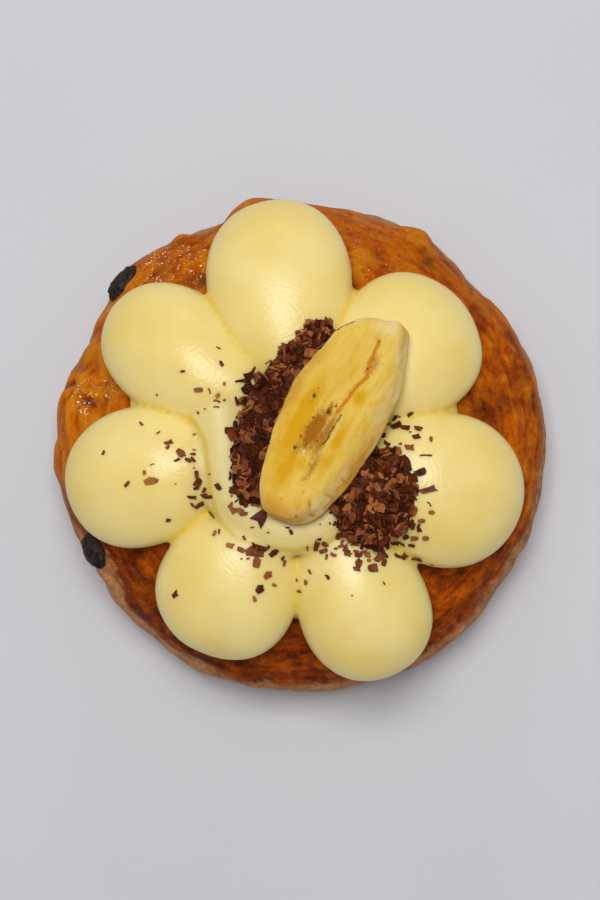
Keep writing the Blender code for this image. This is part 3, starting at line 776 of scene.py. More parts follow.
# Marks on the face, in its own plane and in millimetres: x along the slice and y across it from its
# middle, half length, half width, turn in degrees and strength.
GOLDEN = (
    (-5.0, 5.0, 13.0, 2.6, 2, 1.1), (-15.0, 2.6, 7.0, 2.4, 6, 1.0), (-12.8, 0.0, 2.6, 1.8, 0, 0.7),
    (6.8, -4.5, 2.3, 1.6, 0, 1.0), (-3.5, -5.0, 5.0, 1.5, 0, 0.9), (-9.5, -5.2, 5.0, 1.6, 0, 0.75),
    (10.0, 1.5, 7.0, 2.4, 0, 0.35), (11.5, 0.2, 2.5, 1.2, 0, 0.6), (-6.0, 7.4, 11.0, 2.0, 5, 0.6),
    (-15.6, -9.0, 0.9, 1.6, 0, 0.8), (-11.0, -10.0, 1.2, 1.4, 0, 0.8),
)
OCHRE = (
    (-24.5, -1.0, 3.2, 7.0, 0, 0.9), (-21.5, -5.0, 2.5, 3.0, 30, 0.6), (1.0, 9.6, 9.0, 1.5, 0, 0.85),
    (10.0, 8.6, 6.0, 1.3, -12, 0.7), (-10.0, -11.4, 12.0, 2.2, 0, 0.9), (5.0, -12.4, 9.0, 1.3, 3, 0.8),
)
CORE = (
    (-4.2, 1.2, 5.0, 1.7, -3, 1.4), (-6.2, 0.2, 4.2, 1.5, 0, 0.8), (-9.8, 2.4, 2.4, 1.0, 0, 0.6),
    (1.2, 0.3, 2.2, 0.8, 15, 0.9), (-12.4, -2.2, 5.0, 0.9, 5, 0.4), (2.6, 4.8, 2.4, 0.9, 0, 0.5),
)
CORE_FLOOR = ((-4.4, -1.6, 5.6, 1.1, 0, 1.1), (-11.5, -2.9, 4.5, 1.0, 0, 0.7))
SPECKLED = (
    (14.8, -3.2, 3.4, 1.7, 0, 1.0), (20.6, -1.0, 1.8, 1.2, 40, 0.6), (11.8, -3.4, 2.0, 0.8, -20, 0.8),
)
SEEDS = (
    (-5.0, 2.6, 2.2, 0.3, 0, 0.55), (-2.0, 1.5, 2.6, 0.25, -6, 0.55), (-7.0, 0.4, 2.2, 0.3, 6, 0.5),
    (-5.4, -0.7, 1.8, 0.25, 0, 0.5), (-9.9, 2.9, 0.75, 0.45, 0, 1.0), (-7.1, 2.9, 0.55, 0.40, 0, 0.9),
    (-1.8, 2.7, 0.6, 0.4, 0, 0.8),
    (0.8, 0.6, 0.8, 0.5, 20, 1.0), (2.9, -0.4, 0.75, 0.5, 0, 0.9), (2.2, 4.9, 0.8, 0.6, 30, 0.9),
    (4.3, 4.8, 0.6, 0.3, 0, 0.6), (-8.4, 1.0, 0.5, 0.4, 0, 0.6), (13.6, -2.6, 0.35, 0.25, 0, 0.9),
    (14.2, -3.2, 0.3, 0.25, 0, 0.8), (16.0, -2.7, 0.35, 0.25, 0, 0.8), (15.6, -4.0, 0.35, 0.25, 0, 0.8),
    (16.2, -5.1, 0.35, 0.3, 0, 0.8), (17.1, -4.4, 0.3, 0.25, 0, 0.7), (18.4, -2.3, 0.3, 0.3, 0, 0.7),
    (20.3, -1.8, 0.5, 0.25, 30, 0.8), (22.6, -3.2, 0.5, 0.25, -50, 0.6), (-4.0, 8.2, 0.4, 0.3, 0, 0.6),
    (9.7, 7.8, 0.35, 0.25, 0, 0.7), (4.8, 8.0, 0.35, 0.3, 0, 0.5), (16.5, 6.8, 0.35, 0.3, 0, 0.5),
    (-21.7, -0.3, 0.45, 0.3, 0, 0.7), (-19.0, -3.0, 0.35, 0.25, 0, 0.6), (-17.8, -4.0, 0.5, 0.25, 0, 0.6),
    (-23.5, -5.0, 0.35, 0.5, 0, 0.8), (-22.0, -4.0, 0.35, 0.4, 0, 0.7), (-10.5, -7.6, 0.6, 0.25, 0, 0.6),
    (-16.2, -3.4, 0.4, 0.2, 0, 0.5), (-2.2, -9.0, 0.6, 0.25, 0, 0.4), (5.4, -10.4, 0.3, 0.4, 0, 0.4),
)
BROWNED = (
    (-19.8, -6.6, 2.0, 0.6, 28, 0.9), (-21.4, -7.8, 1.4, 0.6, -60, 0.9), (-18.5, -9.4, 1.8, 0.7, 0, 0.8),
    (-15.7, -9.0, 0.6, 1.3, 0, 0.9), (-11.0, -10.0, 0.8, 1.1, 0, 0.9), (-13.5, -9.8, 2.0, 0.7, 0, 0.6),
    (-22.2, -5.5, 2.0, 2.4, 0, 0.6), (2.5, -12.3, 1.8, 0.6, 0, 0.7), (-24.5, -1.0, 1.6, 3.0, 0, 0.4),
    (0.0, 10.0, 9.0, 1.0, 0, 0.35), (22.0, -1.0, 1.6, 1.0, 60, 0.35),
)
BLEACHED = (
    (24.5, -2.5, 3.4, 5.5, 0, 0.85), (7.0, -8.2, 8.0, 1.8, 0, 0.5), (19.0, -8.6, 7.5, 2.0, 22, 1.0),
    (12.0, -11.0, 6.0, 1.0, 14, 0.8), (-17.6, -2.0, 3.0, 1.6, 10, 0.4), (-2.0, -3.4, 5.0, 0.7, 0, 0.7),
    (-10.0, 0.7, 1.2, 0.9, 0, 1.0), (-2.9, -0.7, 0.9, 0.35, 0, 1.0), (-20.5, -7.8, 1.6, 0.6, 28, 0.7),
    (-8.0, 9.4, 7.0, 1.0, 8, 0.5),
)
SEAM_SMUDGES = (
    (5.2, -1.8, 5.6, 0.8, -5, 0.8), (10.5, -2.8, 2.4, 0.7, -15, 0.7), (19.5, -2.0, 2.6, 0.7, 18, 0.5),
)

# Lines on the face, through places in the same plane: the seam, a crevice, whose shadow is painted as a dark
# line, and a dark edge of the rim.
SEAM = (
    (1.5, -1.2), (3.5, -1.7), (6.0, -2.1), (9.5, -2.6), (11.8, -3.5), (13.0, -2.9), (15.5, -2.4),
    (20.0, -2.0),
)
SEAM_WIDTH = 0.55
SEAM_STRENGTH = 1.1
CREVICE_SHADOW = ((-6.4, -2.2), (-4.5, -2.6), (-3.5, -2.4), (0.0, -2.5), (1.5, -2.7))
DARK_RIM = ((17.6, 8.1), (19.2, 7.5), (20.3, 6.7), (21.5, 5.4))
LINE_WIDTH = 0.26
CREVICE_SHADOW_STRENGTH = 0.9
RIM_START = 0.90  # where the pale rim starts, as a share of the way from the middle to the edge
RIM_FADE = 0.08
FLESH_PALE = (0.800, 0.560, 0.110)
FLESH_YELLOW = (0.760, 0.480, 0.050)
FLESH_GOLD = (0.690, 0.360, 0.001)
FLESH_BLEACHED = (0.820, 0.620, 0.250)
RIM_TAN = (0.800, 0.510, 0.120)
FLESH_OCHRE = (0.640, 0.330, 0.035)
SEAM_ORANGE = (0.600, 0.220, 0.006)
CORE_BROWN = (0.400, 0.140, 0.002)
CORE_BEIGE = (0.420, 0.200, 0.032)
SPECKLED_TAN = (0.620, 0.300, 0.060)
# The dark of the seeds, also used for the crevice's painted shadow and the dark edge of the rim.
SEED_AND_SHADE_DARK = (0.080, 0.027, 0.005)


def slice_outline():
    """Half outline of a round slice of radius 1, from the middle of its face to that of its underside."""
    half = SLICE_THICKNESS / 2
    rounding = SLICE_RIM_ROUNDING / (SLICE_WIDTH / 2)
    points = [((1.0 - rounding) * i / FACE_RINGS, half) for i in range(FACE_RINGS)]
    for i in range(UPPER_EDGE_STEPS + 1):
        turn = math.pi / 2 * i / UPPER_EDGE_STEPS
        radius = 1.0 - rounding + rounding * math.sin(turn)
        points.append((radius, half - SLICE_RIM_ROUNDING * (1.0 - math.cos(turn))))
    wall = SLICE_THICKNESS - 2 * SLICE_RIM_ROUNDING
    for i in range(1, WALL_STEPS):
        points.append((1.0, half - SLICE_RIM_ROUNDING - wall * i / WALL_STEPS))
    for i in range(LOWER_EDGE_STEPS + 1):
        turn = math.pi / 2 * i / LOWER_EDGE_STEPS
        radius = 1.0 - rounding + rounding * math.cos(turn)
        points.append((radius, -half + SLICE_RIM_ROUNDING * (1.0 - math.sin(turn))))
    return points + [(0.5, -half), (0.0, -half)]


def slice_lobes(turn):
    """How far the outline reaches in this direction, as a share of the plain oval."""
    reach = 1.0
    for angle, width, share in SLICE_LOBES:
        away = (math.degrees(turn) - angle + 180.0) % 360.0 - 180.0
        reach *= 1.0 + share * math.exp(-((away / width) ** 2))
    return reach


def slice_shape(point):
    """Turns the round slice into the slanted oval, with its sunken core and dried, wavy rim."""
    radius = math.hypot(point.x, point.y)
    turn = math.atan2(point.y, point.x)
    corner = abs(math.cos(turn)) ** SLICE_OVAL_POWER + abs(math.sin(turn)) ** SLICE_OVAL_POWER
    reach = radius * corner ** (-1 / SLICE_OVAL_POWER) * slice_lobes(turn)
    x = reach * math.cos(turn) * SLICE_LENGTH / 2
    y = reach * math.sin(turn) * SLICE_WIDTH / 2
    z = point.z
    depth = 0.5 - point.z / SLICE_THICKNESS
    if depth < FACE_DEPTH:
        across = y / SLICE_HOLLOW_WIDTH
        along = x / (SLICE_HOLLOW_LENGTH / 2)
        z -= SLICE_HOLLOW * math.exp(-across * across - along**4)
        z -= face_relief(x, y)
    lower = max(0.0, -y / (SLICE_WIDTH / 2) - SLICE_FALL_START) / SLICE_FALL_RUN
    z -= SLICE_FALL * lower * lower * max(0.0, 1.0 - depth)
    wave = noise.noise(Vector((x, y, 0.0)) / SLICE_WAVE_SIZE) * SLICE_WAVE * radius
    pucker = noise.noise(Vector((x, y, 2.0 * z)) / SLICE_PUCKER_SIZE) * SLICE_PUCKER * radius**6
    return Vector((x + SLICE_SLANT.x * depth, y + SLICE_SLANT.y * depth + wave + pucker, z + wave))


def soft_marks(flat, rows):
    """Strength at each place of soft oval marks."""
    strength = np.zeros(len(flat))
    for x, y, half_length, half_width, turn, amount in rows:
        c, s = math.cos(math.radians(turn)), math.sin(math.radians(turn))
        away = flat - (x, y)
        along, across = away @ (c, s), away @ (-s, c)
        oval = np.exp(-((along / half_length) ** 2) - (across / half_width) ** 2)
        strength = np.maximum(strength, amount * oval)
    return strength


def face_relief(x, y):
    """Depth of the fibres and dents at a place on the face, in metres."""
    fibres = noise.noise(Vector((x / 7.0, y / 1.3, 0.0)) / MM)
    dents = noise.noise(Vector((x / 5.0, y / 3.0, 4.0 * MM)) / MM)
    return (FIBRE_DEPTH * fibres + DENT_DEPTH * dents) * MM


def painted_on(look, colour, name, pattern, spread, low, high, paint):
    """The colour with a mark painted on it, whose edge is broken up by a pattern."""
    strength = sums(look, (marked(look, name), 1.0), (pattern, spread), (1.0, -spread / 2))
    return blended(look, between(look, strength, low, high), colour, paint)


def banana_look():
    look = new_look("dried_banana", Subsurface_Weight=0.20, Subsurface_Scale=0.8 * MM)
    dress(look, Subsurface_Radius=(1.0, 0.6, 0.2), Specular_IOR_Level=0.08)
    place = place_on(look)
    along = place_on(look, (5.0, 1.0, 1.0), SLICE_ANGLE)
    fibre = cloudy(look, along, 0.9 * MM, 4.0, 0.6)
    cloud = cloudy(look, place, 3.0 * MM, 4.0, 0.6)
    grain = cloudy(look, place, 0.7 * MM, 3.0, 0.6)
    flesh = shades(look, sums(look, (fibre, 0.5), (cloud, 0.5)), ((0.38, FLESH_YELLOW), (0.58, FLESH_PALE)))
    flesh = painted_on(look, flesh, "bleached", cloud, 1.2, 0.2, 1.0, FLESH_BLEACHED)
    flesh = painted_on(look, flesh, "golden", cloud, 0.9, 0.0, 0.95, FLESH_GOLD)
    flesh = painted_on(look, flesh, "speckled", grain, 1.0, 0.3, 0.9, SPECKLED_TAN)
    flesh = painted_on(look, flesh, "core_floor", grain, 0.6, 0.1, 0.9, CORE_BEIGE)
    flesh = painted_on(look, flesh, "core", grain, 1.0, 0.1, 0.9, CORE_BROWN)
    flesh = painted_on(look, flesh, "seam", grain, 1.2, 0.1, 1.1, SEAM_ORANGE)
    rim_cloud = cloudy(look, place, 5.0 * MM, 4.0, 0.6)
    rim = blended(look, between(look, rim_cloud, 0.35, 0.65), RIM_TAN, FLESH_BLEACHED)
    colour = blended(look, marked(look, "rim"), flesh, rim)
    colour = painted_on(look, colour, "ochre", cloud, 0.9, 0.0, 1.0, FLESH_OCHRE)
    colour = painted_on(look, colour, "browned", cloud, 1.4, 0.3, 1.0, SEAM_ORANGE)
    # Seeds, the crevice's painted shadow and the dark rim edge take the dark colour.
    colour = painted_on(look, colour, "seed_and_shade", grain, 1.8, 0.30, 1.0, SEED_AND_SHADE_DARK)
    relief = bumps(look, (fibre, 0.14 * MM), (grain, 0.10 * MM))
    roughness = between(look, cloud, 0.3, 0.7, 0.40, 0.60)
    dress(look, Base_Color=colour, Roughness=roughness, Normal=relief)
    return look


banana = spun("dried_banana_slice", slice_outline(), SLICE_STEPS)
rounds = [math.hypot(vertex.co.x, vertex.co.y) for vertex in banana.data.vertices]
faces_up = [vertex.co.z > SLICE_THICKNESS / 2 - SLICE_RIM_ROUNDING for vertex in banana.data.vertices]
reshape(banana, slice_shape)
flat = np.array([vertex.co.xy / MM for vertex in banana.data.vertices])
seam = drawn_lines(flat, SEAM, SEAM_WIDTH) * SEAM_STRENGTH
# The crevice is a painted shadow line.
crevice_shadow = drawn_lines(flat, CREVICE_SHADOW, LINE_WIDTH) * CREVICE_SHADOW_STRENGTH
dark_rim = drawn_lines(flat, DARK_RIM, LINE_WIDTH)
mark(banana, "seam", np.maximum(seam, soft_marks(flat, SEAM_SMUDGES)))
mark(banana, "seed_and_shade", np.maximum(soft_marks(flat, SEEDS), np.maximum(crevice_shadow, dark_rim)))
for name, rows in (
    ("golden", GOLDEN), ("ochre", OCHRE), ("core", CORE), ("core_floor", CORE_FLOOR),
    ("speckled", SPECKLED), ("browned", BROWNED), ("bleached", BLEACHED),
):
    mark(banana, name, soft_marks(flat, rows))
rims = [min(1.0, max(0.0, (share - RIM_START) / RIM_FADE)) for share in rounds]
mark(banana, "rim", [rim if up else 1.0 for rim, up in zip(rims, faces_up)])
banana.rotation_euler = [math.radians(turn) for turn in (-SLICE_ROLL, -SLICE_PITCH, SLICE_ANGLE)]
banana.location = SLICE_CENTRE
settle(banana)
banana.data.shade_smooth()
banana.data.materials.append(banana_look())
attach(banana, "root")
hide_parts("banana_slice")

# ================================================================ the grated chocolate
# Dark chocolate grated into thin curved flakes. Two heaps of them lie against the banana slice, each
# over a low mound, and more are strewn on the cream.

# Heaps: name, middle, length, width, height, angle, number of flakes.
HEAPS = (
    ("chocolate_left", (-1.3 * MM, 5.2 * MM, 51.0 * MM), 47.0 * MM, 18.0 * MM, 12.0 * MM, 64.0, 460),
    ("chocolate_right", (19.0 * MM, -14.0 * MM, 50.5 * MM), 23.5 * MM, 18.0 * MM, 14.0 * MM, 72.0, 270),
)
HEAP_ROUGHNESS = 1.6 * MM
HEAP_ROUGHNESS_SIZE = 4.0 * MM

# Lumps along the edges of the heaps, in millimetres: x, y.
HEAP_EDGES = (
    (4.8, 25.2), (1.8, 22.4), (-1.2, 19.4), (-4.6, 16.0), (-8.2, 14.2), (-10.6, 12.4), (-10.2, 10.0),
    (-11.6, 7.8), (-11.6, 4.8), (-13.4, 0.8), (-12.0, -1.0), (-13.4, -3.8), (-12.2, -6.2), (-10.4, -8.6),
    (19.6, -6.6), (22.4, -7.0), (24.8, -7.0), (25.6, -9.8), (26.6, -12.8), (26.4, -16.6), (26.0, -19.6),
    (24.8, -21.6), (22.4, -22.2), (19.4, -22.8), (16.8, -22.6), (13.6, -22.0), (12.4, -20.4), (13.6, -18.0),
)
EDGE_REACH = 0.6  # share of a heap's length within which a lump belongs to it
EDGE_FLAKES = 6  # in each lump
EDGE_SPREAD = 0.8
EDGE_TILT = 0.4  # how unevenly its flakes lie
FLAKE_KINDS = 6
FLAKE_THICKNESS = 0.13  # as a share of its size
FLAKE_NARROWNESS = 0.9
CORNERS = (90, -135, -45)  # directions in degrees of the corners of a three-cornered flake
HEAP_FLAKE = (1.7 * MM, 3.0 * MM)  # shortest and longest flake of a heap
HEAP_FLAKE_WIDTH = (0.6, 0.95)  # as a share of its length
HEAP_FLAKE_LIFT = (-0.2, 0.7)  # in millimetres, off the surface that it fell on
HEAP_TILT = 0.55
HEAP_SCATTER = 0.4  # by which a flake's bearing in the heap strays, in radians
LIGHTEST_TONE = 0.9
TONE_BIAS = 1.6  # more makes more of the flakes dark
GOLDEN_TURN = math.pi * (3.0 - math.sqrt(5.0))
ABOVE_ALL = 100.0 * MM
DOWN = Vector((0.0, 0.0, -1.0))
# The lighter colours stand for faces turned to the lamp and for thin flakes that light shines through:
# painted light.
CHOCOLATE_BLACK = (0.036, 0.008, 0.003)
CHOCOLATE_BROWN = (0.130, 0.027, 0.008)
CHOCOLATE_RED = (0.310, 0.098, 0.034)
CHOCOLATE_THIN_AND_LIT = (0.520, 0.190, 0.030)

CHOCOLATE_SEED = 7
rng = random.Random(CHOCOLATE_SEED)


def make_flake_kind(number, bend=0.0, three_cornered=False):
    """One flake a metre across: a small plate with a torn outline, curved and given its thickness."""
    bpy.ops.object.select_all(action="DESELECT")
    bpy.ops.mesh.primitive_grid_add(x_subdivisions=2, y_subdivisions=2, size=1.0)
    flake = bpy.context.object
    shake = random.Random(number)
    curl = shake.uniform(0.15, 0.7)

    def tear(point):
        if point.length < 0.1:
            return point.copy()
        heading = math.atan2(point.y, point.x)
        reach = (0.55 * point.length + 0.22) * shake.uniform(0.66, 1.12)
        turn = heading + shake.uniform(-0.2, 0.2)
        if three_cornered:
            reach = 0.62 if round(math.degrees(heading)) in CORNERS else 0.30
        x, y = reach * math.cos(turn), reach * math.sin(turn) * FLAKE_NARROWNESS
        z = curl * (x * x + 0.5 * x * y) + shake.uniform(-0.04, 0.04)
        return Vector((x, y + bend * (0.25 - x * x), z))

    reshape(flake, tear)
    plate = flake.modifiers.new("plate", "SOLIDIFY")
    plate.thickness = FLAKE_THICKNESS
    plate.offset = 0.0
    settle(flake)
    points = np.array([vertex.co for vertex in flake.data.vertices])
    faces = [tuple(face.vertices) for face in flake.data.polygons]
    bpy.data.objects.remove(flake, do_unlink=True)
    return points, faces


def joined_flakes(name, placings):
    """One mesh of many flakes: each placing is a kind, a matrix and a tone."""
    points, faces, tones, start = [], [], [], 0
    for kind, matrix, tone in placings:
        shape, sides = flake_kinds[kind]
        points.append(shape @ np.array(matrix.to_3x3()).T + np.array(matrix.translation))
        faces += [tuple(start + corner for corner in face) for face in sides]
        tones += [tone] * len(shape)
        start += len(shape)
    mesh = bpy.data.meshes.new(name)
    mesh.from_pydata(np.concatenate(points).tolist(), [], faces)
    flakes = bpy.data.objects.new(name, mesh)
    bpy.context.scene.collection.objects.link(flakes)
    mark(flakes, "tone", tones)
    return flakes


def surface_of(*objects):
    points, faces = [], []
    for obj in objects:
        start = len(points)
        points += [vertex.co.copy() for vertex in obj.data.vertices]
        faces += [[start + i for i in face.vertices] for face in obj.data.polygons]
    return BVHTree.FromPolygons(points, faces)


def lying(place, facing, tilt, length, width, turn):
    """The place and turn of a flake that lies about flat on a surface with this normal."""
    up = (facing + Vector([rng.gauss(0.0, tilt) for _ in range(3)])).normalized()
    ahead = Vector((math.cos(turn), math.sin(turn), 0.0))
    side = up.cross(ahead).normalized()
    lie = Matrix((side.cross(up), side, up)).transposed().to_4x4()
    return Matrix.Translation(place) @ lie @ Matrix.Diagonal((length, width, (length + width) / 2, 1.0))


def make_mound(name, middle, size, angle):
    """The core of a heap: a low mound of this length, width and height, with an uneven surface."""
    bpy.ops.object.select_all(action="DESELECT")
    bpy.ops.mesh.primitive_uv_sphere_add(segments=64, ring_count=32, radius=0.5)
    mound = bpy.context.object
    mound.name = name
    mound.scale = size
    mound.rotation_euler = (0.0, 0.0, math.radians(angle))
    mound.location = middle
    settle(mound)

    def roughen(point):
        rise = noise.noise(point / HEAP_ROUGHNESS_SIZE) * HEAP_ROUGHNESS
        return point + (point - middle).normalized() * rise

    reshape(mound, roughen)
    return mound


def chocolate_look():
    look = new_look("dark_chocolate", Specular_IOR_Level=0.08)
    place = place_on(look)
    cloud = cloudy(look, place, 0.8 * MM, 3.0, 0.6)
    # Lighter tones give lit faces and thin flakes with light shining through: painted light.
    tone = sums(look, (marked(look, "tone"), 0.80), (cloud, 0.5), (1.0, -0.15))
    stops = ((0.05, CHOCOLATE_BLACK), (0.38, CHOCOLATE_BROWN), (0.66, CHOCOLATE_RED), (0.95, CHOCOLATE_THIN_AND_LIT))
    relief = bumps(look, (cloudy(look, place, 0.35 * MM, 3.0, 0.6), 0.09 * MM))
    roughness = between(look, tone, 0.2, 0.8, 0.38, 0.60)
    dress(look, Base_Color=shades(look, tone, stops), Roughness=roughness, Normal=relief)
    return look


def heap_flake(surface, x, y, tilt):
    """A random flake dropped on the surface at this place, or none where the surface ends."""
    place, normal, _, _ = surface.ray_cast(Vector((x, y, ABOVE_ALL)), DOWN)
    if place is None:
        return []
    length = rng.uniform(*HEAP_FLAKE)
    place = place + normal * rng.uniform(*HEAP_FLAKE_LIFT) * MM
    width = length * rng.uniform(*HEAP_FLAKE_WIDTH)
    lie = lying(place, normal, tilt, length, width, rng.uniform(0.0, math.tau))
    return [(rng.randrange(FLAKE_KINDS), lie, LIGHTEST_TONE * rng.random() ** TONE_BIAS)]


def make_heap(name, middle, length, width, height, angle, number):
    middle = Vector(middle)
    mound = make_mound("grated_" + name, middle, (length, width, height), angle)
    surface = surface_of(mound, flower)
    turn = Matrix.Rotation(math.radians(angle), 2)
    placings = []
    for i in range(number):
        share = math.sqrt((i + 0.5) / number)
        bearing = i * GOLDEN_TURN + rng.uniform(-HEAP_SCATTER, HEAP_SCATTER)
        spot = turn @ Vector((math.cos(bearing) * length / 2, math.sin(bearing) * width / 2)) * share
        placings += heap_flake(surface, middle.x + spot.x, middle.y + spot.y, HEAP_TILT)
    for edge in HEAP_EDGES:
        if (Vector(edge) * MM - middle.xy).length < length * EDGE_REACH:
            for _ in range(EDGE_FLAKES):
                x, y = [rng.gauss(place, EDGE_SPREAD) * MM for place in edge]
                placings += heap_flake(surface, x, y, EDGE_TILT)
    flakes = joined_flakes("flakes_of_" + name, placings)
    mark(mound, "tone", [0.0] * len(mound.data.vertices))
    only(mound)
    flakes.select_set(True)
    bpy.ops.object.join()
    mound.data.materials.append(chocolate)
    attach(mound, "root")
    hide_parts(name)


SLIVER, TRIANGLE = FLAKE_KINDS, FLAKE_KINDS + 1  # the numbers of the two kinds that follow
flake_kinds = [make_flake_kind(number) for number in range(FLAKE_KINDS)]
flake_kinds += [make_flake_kind(SLIVER, bend=1.0), make_flake_kind(TRIANGLE, three_cornered=True)]
chocolate = chocolate_look()
for row in HEAPS:
    make_heap(*row)

# ================================================================ the strewn flakes
# The same flakes, fallen singly and in small drifts on the cream round the heaps.

